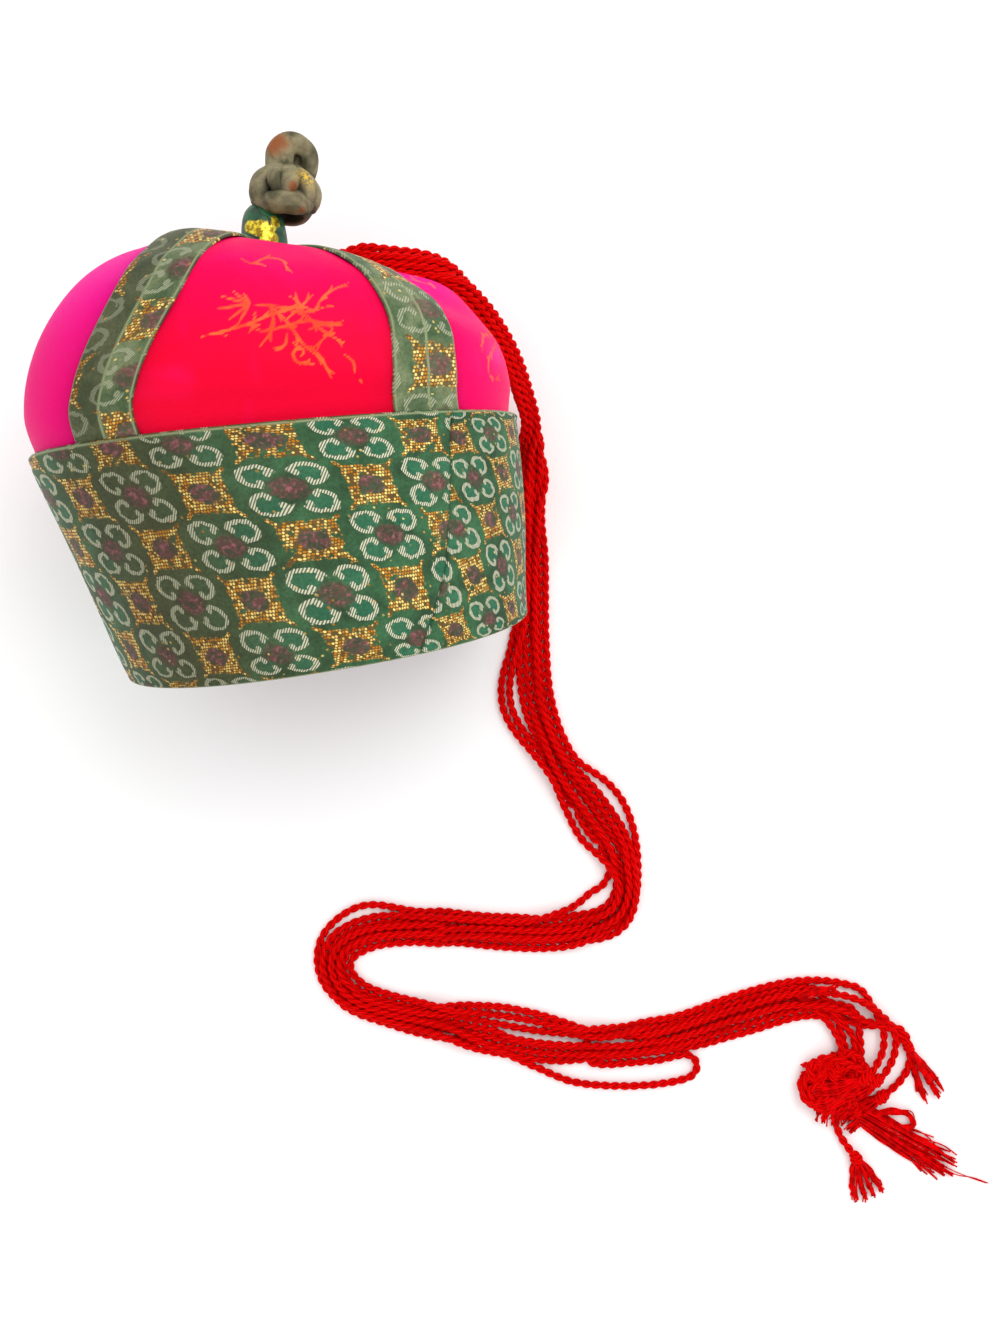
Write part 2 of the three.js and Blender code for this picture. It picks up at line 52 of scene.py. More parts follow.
def make_camera():
    heading = Vector((math.sin(LEAN), math.cos(LEAN), 0))
    right = Vector((math.cos(LEAN), -math.sin(LEAN), 0))
    look = heading * math.cos(PITCH) - Vector((0, 0, math.sin(PITCH)))
    up = right.cross(look)
    data = bpy.data.cameras.new("camera")
    data.sensor_fit = "VERTICAL"
    data.sensor_height = 24
    data.lens = data.sensor_height * (FOCAL_PIXELS / PICTURE_HEIGHT)
    data.clip_start, data.clip_end = 0.02, 20
    camera = bpy.data.objects.new("camera", data)
    camera.matrix_world = Matrix.Translation(EYE) @ Matrix((right, up, -look)).transposed().to_4x4()
    scene.collection.objects.link(camera)
    scene.camera = camera


make_camera()
# The cap's forms in millimetres, as in the CAD.
RIM_WIDTH, RIM_DEPTH, BAND_HEIGHT = 205, 158, 108
BAND_TOP_WIDTH, BAND_TOP_DEPTH, CROWN_HEIGHT = 242, 184, 82
GORE_PUFF, SILK_THICKNESS, STRIP_THICKNESS, BAND_THICKNESS = 3, 2, 1.5, 2.5
STRIP_WIDTH, TUCK, CLEARANCE, SEAM_DRIFT = 35, 9, 0.3, 9
COLLAR_RADIUS = 11.5
# How it lies: its axis rises towards the apex, and its front is rolled aside, both in degrees.
AXIS_RISE, FRONT_ROLL = 13, 4
PLACE = np.array([4.84, -113.79, 74.0])
STRIP_INNER = CLEARANCE
STRIP_OUTER = STRIP_INNER + STRIP_THICKNESS
BAND_INNER = STRIP_OUTER + 2 * CLEARANCE
BAND_OUTER = BAND_INNER + BAND_THICKNESS

# Sections of the band: up, flare, shift, lean, nod.
BAND_ROWS = [(0.0, 0.0, -0.014, 4, -1), (0.52, 0.52, -0.012, 5, 3), (1.0, 1.0, -0.02, 7.5, 7)]
# Sections of the crown: up, wide, deep, shift, lean, nod.
CROWN_ROWS = [
    (0.25, 0.985, 1.03, -0.012, 9, 8),
    (0.52, 0.92, 0.98, 0.008, 11, 9),
    (0.78, 0.77, 0.86, 0.025, 13, 10),
    (0.94, 0.59, 0.68, 0.035, 15, 10),
    (1.0, 0.41, 0.46, 0.038, 17, 10),
    (0.97, 0.24, 0.26, 0.04, 18, 10),
]
SEAT_RADII = (1.2, 0.4)
SEAT = (0.92, 0.04, 18, 10)  # up, shift, lean, nod
# Dents: turn, along, across, tall, deep. A negative depth is a bulge.
DENTS = [
    (62, 5.2, 14, 0.9, 0.07),
    (-30, 6.0, 16, 0.8, 0.025),
    (8, 5.6, 10, 1.0, 0.03),
    (20, 3.3, 26, 0.5, 0.02),
    (-82, 4.0, 9, 1.2, 0.035),
    (100, 4.2, 12, 0.8, 0.04),
    (150, 5.6, 14, 0.8, 0.05),
    (205, 5.0, 12, 0.9, 0.03),
    (178, 3.7, 48, 1.2, -0.085),
    (-32, 6.6, 18, 0.8, -0.065),
]
BAND_TOP = len(BAND_ROWS) - 1
APEX = BAND_TOP + len(CROWN_ROWS) + len(SEAT_RADII)
PLAN_POWER = 0.88


def sections():
    """One row for each section: x, z, lean, nod, half width and half depth."""
    rows = []
    for up, flare, shift, lean, nod in BAND_ROWS:
        wide = RIM_WIDTH + (BAND_TOP_WIDTH - RIM_WIDTH) * flare
        deep = RIM_DEPTH + (BAND_TOP_DEPTH - RIM_DEPTH) * flare
        x, z = shift * BAND_TOP_WIDTH, up * BAND_HEIGHT
        rows.append((x, z, lean, nod, wide / 2 - BAND_INNER, deep / 2 - BAND_INNER))
    for up, wide, deep, shift, lean, nod in CROWN_ROWS:
        x, z = shift * BAND_TOP_WIDTH, BAND_HEIGHT + up * CROWN_HEIGHT
        rows.append((x, z, lean, nod, wide * BAND_TOP_WIDTH / 2, deep * BAND_TOP_DEPTH / 2))
    for radius in SEAT_RADII:
        up, shift, lean, nod = SEAT
        x, z = shift * BAND_TOP_WIDTH, BAND_HEIGHT + up * CROWN_HEIGHT
        rows.append((x, z, lean, nod, radius * COLLAR_RADIUS, radius * COLLAR_RADIUS))
    return np.array(rows, float)


SECTIONS = sections()


def smooth(x, low, high):
    t = np.clip((x - low) / (high - low), 0, 1)
    return t * t * (3 - 2 * t)


def bell(distance, reach):
    """1 at no distance, falling to 0 past the reach."""
    return np.exp(-((distance / reach) ** 2))


def track(along):
    """The sections' values anywhere between them, on a uniform Catmull-Rom spline."""
    along = np.clip(np.asarray(along, float), 0, APEX)
    i = np.minimum(np.floor(along).astype(int), APEX)
    t = (along - i)[..., None]
    a, b = SECTIONS[np.maximum(i - 1, 0)], SECTIONS[i]
    c, d = SECTIONS[np.minimum(i + 1, APEX)], SECTIONS[np.minimum(i + 2, APEX)]
    p, q = (c - a) / 2, (d - b) / 2
    return ((2 * b - 2 * c + p + q) * t + (3 * c - 3 * b - 2 * p - q)) * t * t + p * t + b


def plain(turn, along):
    """Points of the smooth form, before its relief, standing upright. Turns start at the front."""
    x, z, lean, nod, wide, deep = np.moveaxis(track(along), -1, 0)
    lean, nod = np.radians(lean), np.radians(nod)
    oval = lambda share: np.sign(share) * np.abs(share) ** PLAN_POWER
    right, front = oval(np.sin(turn)) * wide, oval(np.cos(turn)) * deep
    height = z - right * np.sin(lean) + front * np.sin(nod)
    return np.stack([x + right * np.cos(lean), -front * np.cos(nod), height], -1)


STEP = 0.01


def outward(turn, along):
    across = plain(turn + STEP, along) - plain(turn - STEP, along)
    upward = plain(turn, np.minimum(APEX, along + STEP)) - plain(turn, np.maximum(0, along - STEP))
    normal = np.cross(across, upward)
    return normal / np.linalg.norm(normal, axis=-1, keepdims=True)


def relief(turn, along):
    """The puff of the gores and the dents, above the band."""
    above = smooth(along, BAND_TOP, BAND_TOP + 1.5)
    flat = 1 - smooth(along, APEX - 3, APEX - 1)
    height = GORE_PUFF * np.cos(2 * turn) ** 2 * above * flat
    for dent, at, across, tall, deep in DENTS:
        apart = (turn - math.radians(dent) + math.pi) % (2 * math.pi) - math.pi
        spread = (apart / math.radians(across)) ** 2 + ((along - at) / tall) ** 2
        height = height - deep * CROWN_HEIGHT * above * np.exp(-spread)
    return height


# The two front seams swing to the right up the crown. Seams are numbered from the front right.
SEAM_SWING = (4, 0, 0, 11)


def seam_turn(seam, along):
    drawn = 1 - smooth(along, APEX - 3, APEX - 0.5)
    swing = SEAM_SWING[seam % 4] * smooth(along, BAND_TOP, BAND_TOP + 3)
    drift = (1 if seam % 2 else -1) * SEAM_DRIFT
    return math.radians(45 + 90 * seam) + np.radians(drift + swing) * drawn


def rotation(degrees, axis):
    c, s = math.cos(math.radians(degrees)), math.sin(math.radians(degrees))
    matrix = np.eye(3)
    across = [(1, 2), (2, 0), (0, 1)][axis]
    matrix[np.ix_(across, across)] = [[c, -s], [s, c]]
    return matrix


LYING = rotation(AXIS_RISE - 90, 0) @ rotation(FRONT_ROLL, 2)
SKYWARD = LYING.T @ np.array([0, 0, 1.0])
FLOOR_ROUNDING = 2


def cloth(turn, along, offset, lift=0.0):
    """Points of the cloth in the scene, in millimetres. Lift is fine relief on top of the offset."""
    turn, along = np.broadcast_arrays(np.asarray(turn, float), np.asarray(along, float))
    push = np.asarray(offset + lift + relief(turn, along))[..., None]
    point = plain(turn, along) + outward(turn, along) * push
    above = smooth(along, BAND_TOP, BAND_TOP + 1)
    least = BAND_OUTER + (STRIP_OUTER - BAND_OUTER) * above - offset
    height = point @ SKYWARD + PLACE[2]
    past = np.clip(height - least, -FLOOR_ROUNDING, FLOOR_ROUNDING)
    raised = np.maximum(height, least + (past + FLOOR_ROUNDING) ** 2 / (4 * FLOOR_ROUNDING))
    point = point + (raised - height)[..., None] * SKYWARD
    return point @ LYING.T + PLACE


def turn_of(length, turn, along):
    """The turn that a length across the cloth takes."""
    step = np.linalg.norm(plain(turn + STEP, along) - plain(turn - STEP, along), axis=-1)
    return length * 2 * STEP / step


# Mesh helpers. Points are in millimetres, and meshes are in metres.
def grid_faces(rows, columns, ring=False):
    """Quads of a grid of points. A ring joins the last column to the first."""
    i, j = np.meshgrid(np.arange(rows - 1), np.arange(columns if ring else columns - 1), indexing="ij")
    i, j = i.ravel(), j.ravel()
    here, beside = i * columns + j, i * columns + (j + 1) % columns
    return np.stack([here, beside, beside + columns, here + columns], 1)


def make_mesh(name, points, faces, material, uv=None, fields=None):
    """A smooth mesh. Its uv and its fields have one value for each point."""
    mesh = bpy.data.meshes.new(name)
    mesh.from_pydata((np.asarray(points, float) * MM).tolist(), [], faces)
    mesh.polygons.foreach_set("use_smooth", np.full(len(mesh.polygons), True))
    if uv is not None:
        layer = mesh.uv_layers.new(name="UVMap")
        corner = np.zeros(len(mesh.loops), np.int32)
        mesh.loops.foreach_get("vertex_index", corner)
        layer.data.foreach_set("uv", np.asarray(uv, np.float32)[corner].ravel())
    for key, values in (fields or {}).items():
        field = mesh.attributes.new(key, "FLOAT", "POINT")
        field.data.foreach_set("value", np.asarray(values, np.float32).ravel())
    mesh.materials.append(material)
    piece = bpy.data.objects.new(name, mesh)
    scene.collection.objects.link(piece)
    return piece


def place(piece, slot, node):
    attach(piece, "root")
    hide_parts(node)


def unit(vectors):
    return vectors / np.linalg.norm(vectors, axis=-1, keepdims=True)


def through(points, step):
    """A centripetal Catmull-Rom curve through points, at even steps along it."""
    points = np.asarray(points, float)
    ends = [2 * points[0] - points[1], 2 * points[-1] - points[-2]]
    points = np.vstack([ends[0], points, ends[1]])
    made = []
    for a, b, c, d in zip(points, points[1:], points[2:], points[3:]):
        knots = [0]
        for p, q in ((a, b), (b, c), (c, d)):
            knots.append(knots[-1] + max(np.linalg.norm(q - p), 1e-6) ** 0.5)
        t0, t1, t2, t3 = knots
        t = np.linspace(t1, t2, 12, endpoint=False)[:, None]
        between = lambda p, q, start, end: (end - t) / (end - start) * p + (t - start) / (end - start) * q
        first, second, third = between(a, b, t0, t1), between(b, c, t1, t2), between(c, d, t2, t3)
        made.append(between(between(first, second, t0, t2), between(second, third, t1, t3), t1, t2))
    return respaced(np.vstack(made + [points[-2]]), step)


def respaced(line, step):
    along = np.concatenate([[0], np.cumsum(np.linalg.norm(np.diff(line, axis=0), axis=1))])
    at = np.linspace(0, along[-1], max(3, int(round(along[-1] / step)) + 1))
    return np.stack([np.interp(at, along, line[:, k]) for k in range(line.shape[1])], 1)


def frames(line):
    """Two directions across each point of a line, which don't twist along it."""
    along = unit(np.gradient(line, axis=0))
    side = np.cross(along[0], (0, 0, 1))
    if np.linalg.norm(side) < 0.1:
        side = np.cross(along[0], (1, 0, 0.2))
    sides = [unit(side)]
    for direction in along[1:]:
        sides.append(unit(sides[-1] - direction * (sides[-1] @ direction)))
    sides = np.array(sides)
    return sides, np.cross(sides, along)


def tube(line, radius, sides):
    """Points and faces of a closed tube along a line. The radius is one number, or one for each corner."""
    across, over = frames(line)
    radius = np.broadcast_to(radius, (len(line), sides))[..., None]
    angle = np.linspace(0, 2 * math.pi, sides, endpoint=False)[None, :, None]
    ring = across[:, None] * np.cos(angle) + over[:, None] * np.sin(angle)
    points = (line[:, None] + ring * radius).reshape(-1, 3)
    caps = [list(range(sides))[::-1], list(range(len(points) - sides, len(points)))]
    return points, grid_faces(len(line), sides, ring=True).tolist() + caps


def strand(line, radius, sides):
    """A tube with its uv, along it and round it. It has no fields."""
    points, faces = tube(line, radius, sides)
    along, around = np.meshgrid(np.arange(len(line)) * 0.4, np.arange(sides) / sides, indexing="ij")
    return points, faces, np.stack([along.ravel(), around.ravel()], 1), {}


def joined(name, parts, material):
    """One mesh of many parts. Each part is its points, faces, uv and fields."""
    faces, start = [], 0
    for points, corners, _, _ in parts:
        faces += [[k + start for k in face] for face in corners]
        start += len(points)
    points, uv = (np.vstack([part[k] for part in parts]) for k in (0, 2))
    fields = {key: np.concatenate([part[3][key] for part in parts]) for key in parts[0][3]}
    return make_mesh(name, points, faces, material, uv, fields)


class Value:
    """A node's output with arithmetic, so that a pattern reads as a formula."""

    def __init__(self, shader, socket):
        self.shader, self.socket = shader, socket

    def __rsub__(self, other):
        return self * -1 + other

    def step(self, low, high):
        """From 0 below low to 1 above high, smoothly. High may be below low."""
        start, end = (1.0, 0.0) if high < low else (0.0, 1.0)
        ends = {"From Min": min(low, high), "From Max": max(low, high), "To Min": start, "To Max": end}
        values = {"Value": self, **ends}
        return self.shader.node("MapRange", values, "Result", interpolation_type="SMOOTHSTEP")


def arithmetic(operation):
    """A method that adds one math node, whose inputs are the value and what it is combined with."""
    def method(*values):
        return values[0].shader.node("Math", dict(enumerate(values)), operation=operation)

    return method


OPERATIONS = {
    "__add__": "ADD", "__radd__": "ADD", "__sub__": "SUBTRACT", "__mul__": "MULTIPLY", "__rmul__": "MULTIPLY",
    "__truediv__": "DIVIDE", "__abs__": "ABSOLUTE", "sin": "SINE", "floor": "FLOOR", "fract": "FRACT",
    "root": "SQRT", "least": "MINIMUM", "most": "MAXIMUM",
}
for method, operation in OPERATIONS.items():
    setattr(Value, method, arithmetic(operation))
# The colour sockets of a mix node.
MIX_SHARE, MIX_FIRST, MIX_SECOND, MIX_RESULT = 0, 6, 7, 2


class Shader:
    """A material with one glossy surface, and the values that a pattern starts from."""

    def __init__(self, name, roughness, specular):
        self.material = bpy.data.materials.new(name)
        self.material.use_nodes = True
        self.tree = self.material.node_tree
        self.surface = self.tree.nodes["Principled BSDF"]
        self.fill(self.surface, {"Roughness": roughness, "Specular IOR Level": specular})

    def fill(self, node, values):
        """Sets a node's inputs to numbers, or links them to values."""
        for key, value in values.items():
            if isinstance(value, Value):
                self.tree.links.new(value.socket, node.inputs[key])
            else:
                node.inputs[key].default_value = value

    def node(self, kind, values, out=0, **settings):
        node = self.tree.nodes.new("ShaderNode" + kind)
        for key, setting in settings.items():
            setattr(node, key, setting)
        self.fill(node, values)
        return Value(self, node.outputs[out])

    def uv(self):
        place = self.node("TexCoord", {}, "UV")
        return [self.node("SeparateXYZ", {0: place}, axis) for axis in (0, 1)]

    def field(self, name):
        return self.node("Attribute", {}, "Fac", attribute_name=name)

    def noise(self, scale, detail, distortion=0.0):
        """Noise in the object's space, with about scale lumps in a metre."""
        place = self.node("TexCoord", {}, "Object")
        values = {"Vector": place, "Scale": scale, "Detail": detail, "Distortion": distortion}
        return self.node("TexNoise", values, "Fac")

    def speckle(self, x, y):
        """A random value that is steady where x and y are."""
        place = self.node("CombineXYZ", {0: x, 1: y})
        return self.node("TexWhiteNoise", {"Vector": place}, "Value", noise_dimensions="2D")

    def mix(self, share, first, second):
        """Colours mixed by a share. A colour is a value or three numbers."""
        values = {MIX_SHARE: share}
        for slot, colour in ((MIX_FIRST, first), (MIX_SECOND, second)):
            values[slot] = colour if isinstance(colour, Value) else (*colour, 1)
        return self.node("Mix", values, MIX_RESULT, data_type="RGBA")

    def shade(self, colour, share):
        """A colour made darker or lighter by a share."""
        return self.node("VectorMath", {0: colour, "Scale": share}, operation="SCALE")

    def finish(self, colour, height=None, roughness=None, metallic=None, depth=0.0002, strength=0.7):
        looks = {"Base Color": colour, "Roughness": roughness, "Metallic": metallic}
        if height is not None:
            looks["Normal"] = self.node("Bump", {"Strength": strength, "Distance": depth, "Height": height})
        self.fill(self.surface, {key: look for key, look in looks.items() if look is not None})
        return self.material


# The cords: eight two-ply cords, packed side by side and over each other along one route, in metres.
CORD_ROUTE = [
    (0.0296, 0.0718, 0.1135), (0.041, 0.0702, 0.1128), (0.055, 0.069, 0.1123), (0.071, 0.0655, 0.1115),
    (0.087, 0.059, 0.108), (0.101, 0.0505, 0.102), (0.112, 0.041, 0.092), (0.122, 0.028, 0.076),
    (0.129, 0.013, 0.057), (0.132, -0.003, 0.038), (0.133, -0.02, 0.022), (0.129, -0.04, 0.0115),
    (0.122, -0.063, 0.0076), (0.114, -0.098, 0.0067), (0.105, -0.138, 0.0067), (0.102, -0.173, 0.0067),
    (0.107, -0.205, 0.0067), (0.12, -0.238, 0.0067), (0.129, -0.263, 0.0067), (0.129, -0.284, 0.0067),
    (0.121, -0.297, 0.0067), (0.105, -0.302, 0.0067), (0.081, -0.3, 0.0067), (0.053, -0.293, 0.0067),
    (0.026, -0.285, 0.0067), (0.001, -0.279, 0.0067), (-0.022, -0.277, 0.0067),
    (-0.039, -0.283, 0.0067), (-0.044, -0.296, 0.0067), (-0.037, -0.311, 0.0067),
    (-0.017, -0.325, 0.0067), (0.009, -0.337, 0.0067), (0.041, -0.35, 0.0067), (0.073, -0.362, 0.0067),
    (0.106, -0.37, 0.0067), (0.14, -0.372, 0.0067), (0.173, -0.369, 0.0067), (0.213, -0.368, 0.0067),
    (0.239, -0.377, 0.0067), (0.255, -0.39, 0.0067),
]
# From here on, lengths are in millimetres. The route is followed at even steps.
STATION = 3.0
# How many cords there are, and their diameter.
STRANDS, STRAND = 8, 4.5
# The two plies of a cord: radius, way out from its middle, sides, length of a turn, and step along it.
PLY, PLY_OUT, PLY_SIDES, TWIST, RING = 1.25, 1.1, 7, 11.0, 1.0
# The bundle's half width at lengths along the route.
SPREAD = [
    (0, 6), (32, 6.5), (67, 6.5), (106, 6.5), (156, 6), (203, 6), (260, 6.5), (300, 8.5), (340, 7.5),
    (368, 8), (396, 9.5), (415, 10.5), (440, 9.5), (459, 8), (492, 8.5), (544, 10), (639, 10.5),
    (671, 9), (700, 8.5), (723, 11), (745, 12), (792, 11), (818, 9), (860, 9.5), (908, 11.5), (972, 10),
]
# How far the bundle lies left of the route's middle: the cords hang a little wide of the crown.
WIDE_OF = [
    (36, -2), (54, -1.5), (72, 2.5), (90, 7.5), (108, 8.5), (126, 7.5), (144, 5), (162, 3), (185, 0.5),
    (210, 0),
]
# Cords that stray, by number: a length along the route, and a place left of its middle.
STRAYS = {
    0: [
        (302, -5), (318, -11), (332, -18), (347, -21), (361, -17), (375, -10), (392, -7),
        (412, -13), (428, -16), (444, -11),
    ],
    1: [
        (302, -3), (318, -7), (332, -13), (347, -16), (361, -12.5), (375, -6), (392, -2),
        (412, -7), (428, -9.5), (444, -5),
    ],
    7: [(388, 6), (400, 13), (412, 17), (425, 18), (438, 14), (452, 8)],
    2: [(452, -5), (464, -12), (477, -19), (492, -19), (508, -13), (530, -7)],
    3: [(600, -7), (615, -12), (628, -16), (642, -13), (660, -8)],
    6: [(722, 6), (742, 12), (764, 15), (788, 14), (812, 8)],
}
# One slack cord runs beside the others, turns back on itself, and turns again under them.
SLACK, SLACK_FROM, SLACK_TO = 5, 738, 850
SLACK_POINTS = [
    (58, -374.5, 2.6), (75, -386, 2.4), (100, -394, 2.4), (120, -397.6, 2.4), (132, -398.4, 2.4),
    (139.6, -398.1, 2.4), (144.6, -396.1, 2.4), (146.6, -391.2, 2.4), (144.6, -386.3, 2.4),
    (139.6, -384.5, 2.4), (127, -384.7, 2.4), (110, -382.6, 2.4), (96, -380.6, 2.4), (87.6, -377.8, 2.4),
    (84.6, -371.3, 2.4), (87.6, -364.8, 2.6), (94.6, -362.1, 3.2), (104, -364.4, 3.2), (113, -368.2, 2.6),
]


# Rays start this far over a line, at even steps across it, and reach this far down.
RAY_START, RAY_LENGTH, RAY_REACH, RAY_STEP = 18, 60, 30, 2
NOTHING = -99.0


def surface_below(line, side, over):
    """How high the cap or the floor lies on each side of a line, over a row of places across it."""
    corners, faces = [], []
    for name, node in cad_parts.items():
        if not name.startswith(("cord", "tassel", "knot")):
            start = len(corners)
            corners += [v.co / MM for v in node.data.vertices]
            faces += [[k + start for k in p.vertices] for p in node.data.polygons]
    tree = BVHTree.FromPolygons(corners, faces)
    places = np.arange(-RAY_REACH, RAY_REACH + 0.1, RAY_STEP)
    heights = np.full((len(line), len(places)), NOTHING)
    for i, (point, across, up) in enumerate(zip(line, side, over)):
        for j, shift in enumerate(places):
            start = point + across * shift + up * RAY_START
            hit = tree.ray_cast(Vector(start), Vector(-up), RAY_LENGTH)[0]
            if hit is not None:
                heights[i, j] = RAY_START - (Vector(start) - hit).length
            if up[2] > 0.2:
                heights[i, j] = max(heights[i, j], RAY_START - start[2] / up[2])
    return places, heights


def directions(line):
    """Directions to the left of the route and out of what it lies on: up, but sideways off the crown."""
    along = unit(np.gradient(line, axis=0))
    over = np.tile([0.0, 0.0, 1.0], (len(line), 1))
    for i, point in enumerate(line):
        if point[2] > 14:
            lean = smooth(along[i][2], -0.35, -0.75)
            over[i] = (lean, lean * 0.25, 1 - lean * 0.9)
    widened = np.vstack([np.repeat(over[:1], 4, 0), over, np.repeat(over[-1:], 4, 0)])
    over = np.stack([np.convolve(widened[:, k], np.ones(9) / 9, "valid") for k in range(3)], 1)
    side = unit(np.cross(over, along))
    return side, np.cross(along, side)


# The cords change places in the bundle this often, by two swaps of neighbours.
CHANGE, SWAPS = 90, 2
# Under this half width of the bundle the cords lie in three layers, and otherwise in two.
NARROW = 9
PULL, STRAY_PULL, STRAY_START = 0.1, 0.3, 12


def wanted_places(s):
    """Where each cord wants to lie across the route, in which layer, and how hard it is pulled there."""
    half = np.interp(s, *zip(*SPREAD)) - STRAND / 2
    marks = np.arange(0, s[-1] + CHANGE, CHANGE)
    order = np.arange(STRANDS)
    slots, layers = [], []
    for wide in np.interp(marks, *zip(*SPREAD)):
        for _ in range(SWAPS):
            k = random.integers(0, STRANDS - 1)
            order[[k, k + 1]] = order[[k + 1, k]]
        slots.append(np.argsort(order).astype(float))
        layers.append(slots[-1] % (3 if wide < NARROW else 2))
    slots, layers = np.array(slots), np.array(layers, float)
    u = np.empty((STRANDS, len(s)))
    bias = np.empty_like(u)
    pull = np.full_like(u, PULL)
    for k in range(STRANDS):
        share = np.interp(s, marks, slots[:, k]) / (STRANDS - 1) * 2 - 1
        wander = 0.12 * np.sin(s / random.uniform(14, 26) + random.uniform(0, 6))
        u[k] = (share + wander) * half
        bias[k] = np.interp(s, marks, layers[:, k])
        if k in STRAYS:
            at, across = zip(*STRAYS[k])
            inside = smooth(s, at[0] - STRAY_START, at[0]) * (1 - smooth(s, at[-1], at[-1] + STRAY_START))
            u[k] = u[k] * (1 - inside) + np.interp(s, at, across) * inside
            pull[k] += STRAY_PULL * inside
    return u + np.interp(s, *zip(*WIDE_OF)), bias, pull


# The cords are packed in rounds: pulled to their places, let down, pushed apart and smoothed along.
# They settle in the last rounds, when they are hardly moved. Cords sink into each other by a tenth.
ROUNDS, SETTLING = 260, 40
SINK, SETTLING_SINK, SETTLING_PULL = 0.25, 0.02, 0.2
APART, SMOOTHING = STRAND * 0.9, 0.22
# The cords come out of one hole, in a ring of this radius, and spread over this stretch.
GATHERED, SPREAD_FROM, SPREAD_TO = 4.4, 4, 34


def lie(line):
    """The cords' lines: packed along the route, resting on what is under them."""
    side, over = directions(line)
    places, heights = surface_below(line, side, over)
    s = np.arange(len(line)) * STATION
    target, bias, pull = wanted_places(s)
    u = target.copy()
    # On the cap the bundle stays together, and on the floor each cord can lie on its own.
    on_cap = smooth(line[:, 2], 12, 18)
    lowest = np.where(on_cap > 0, -4.3 - 40 * (1 - on_cap), NOTHING)
    floor = lambda k: np.maximum(
        lowest, STRAND / 2 + np.array([np.interp(u[k, i], places, heights[i]) for i in range(len(s))])
    )
    v = np.array([floor(k) for k in range(STRANDS)]) + bias * STRAND
    for turn in range(ROUNDS):
        last = turn > ROUNDS - SETTLING
        u += pull * (SETTLING_PULL if last else 1) * (target - u)
        v -= SETTLING_SINK if last else SINK
        for _ in range(2):
            for a in range(STRANDS):
                for b in range(a + 1, STRANDS):
                    du, dv = u[b] - u[a], v[b] - v[a]
                    far = np.hypot(du, dv) + 1e-6
                    push = np.clip(APART - far, 0, None) * 0.5
                    dv = np.where(np.abs(dv) < 0.05, 0.05 * (1 if (a * 3 + b) % 2 else -1), dv)
                    u[a] -= push * du / far
                    u[b] += push * du / far
                    v[a] -= push * dv / far
                    v[b] += push * dv / far
        for values in (u, v):
            values[:, 1:-1] += SMOOTHING * (values[:, 2:] + values[:, :-2] - 2 * values[:, 1:-1])
        if turn % 3 == 0 or last:
            low = np.array([floor(k) for k in range(STRANDS)])
        v = np.maximum(v, low)
    gathered = 1 - smooth(s, SPREAD_FROM, SPREAD_TO)
    for k in range(STRANDS):
        angle = 2 * math.pi * k / STRANDS
        u[k] += gathered * (GATHERED * math.cos(angle) - u[k])
        v[k] += gathered * (GATHERED * math.sin(angle) - v[k])
    lines = [line + side * u[k][:, None] + over * v[k][:, None] for k in range(STRANDS)]
    slack = lines[SLACK]
    lines[SLACK] = through(np.vstack([slack[s < SLACK_FROM], SLACK_POINTS, slack[s > SLACK_TO]]), STATION)
    return lines


def rope(line, phase):
    """The two plies of a cord, and the middle line that they turn about."""
    middle = through(line, RING)
    across, over = frames(middle)
    parts = []
    for side in (0, 1):
        angle = phase + 2 * math.pi * np.arange(len(middle)) * RING / TWIST + side * math.pi
        offset = across * np.cos(angle)[:, None] + over * np.sin(angle)[:, None]
        parts.append(strand(middle + offset * PLY_OUT, PLY, PLY_SIDES))
    return parts, middle


cord_lines = lie(through(np.round(np.array(CORD_ROUTE) / MM, 3), STATION))


# Materials. Lengths in a pattern are in millimetres. A medallion's cell:
CELL_WIDE, CELL_TALL = 40.6, 27.0


def length_of(x, y):
    return (x * x + y * y).root()


def ripple(phase):
    """From 0 to 1 and back for each whole step of the phase."""
    return (phase * (2 * math.pi)).sin() * 0.5 + 0.5


def silk_material(name, low, high, painted_sheen):
    """Silk damask, with a figure in its own field. The colour changes from low to high up the gore as painted
    sheen on the silk's red, with patches of painted sheen.
    """
    shader = Shader(name, roughness=0.5, specular=0.05)
    across, up = shader.uv()
    # Painted sheen: the colour runs from low to high up the gore in soft clouds, with patches of painted
    # sheen over it.
    rise = up.step(10, 120)
    cloudy = shader.noise(14, 2)
    colour = shader.mix((rise * 0.75 + cloudy * 0.35).step(0.1, 0.95), low, high)
    colour = shader.mix(shader.noise(22, 2, 0.6).step(0.5, 0.8) * 0.35, colour, painted_sheen)
    threads = ripple(across / 0.55) + ripple(up / 0.7)
    figure = shader.field("figure")
    weave = shader.noise(900, 2)
    figure = (figure + (weave - 0.5) * 0.35).step(0.12, 0.75)
    gold = shader.mix(shader.noise(90, 2).step(0.35, 0.65), (0.80, 0.10, 0.012), (0.86, 0.22, 0.03))
    colour = shader.mix(figure * 0.58, colour, gold)
    colour = shader.shade(colour, weave * 0.18 + 0.91)
    colour = shader.shade(colour, shader.field("shade"))
    height = threads * 0.25 + figure * 0.5 + weave
    return shader.finish(colour, height, figure * 0.1 + 0.5, depth=0.00012, strength=0.5)


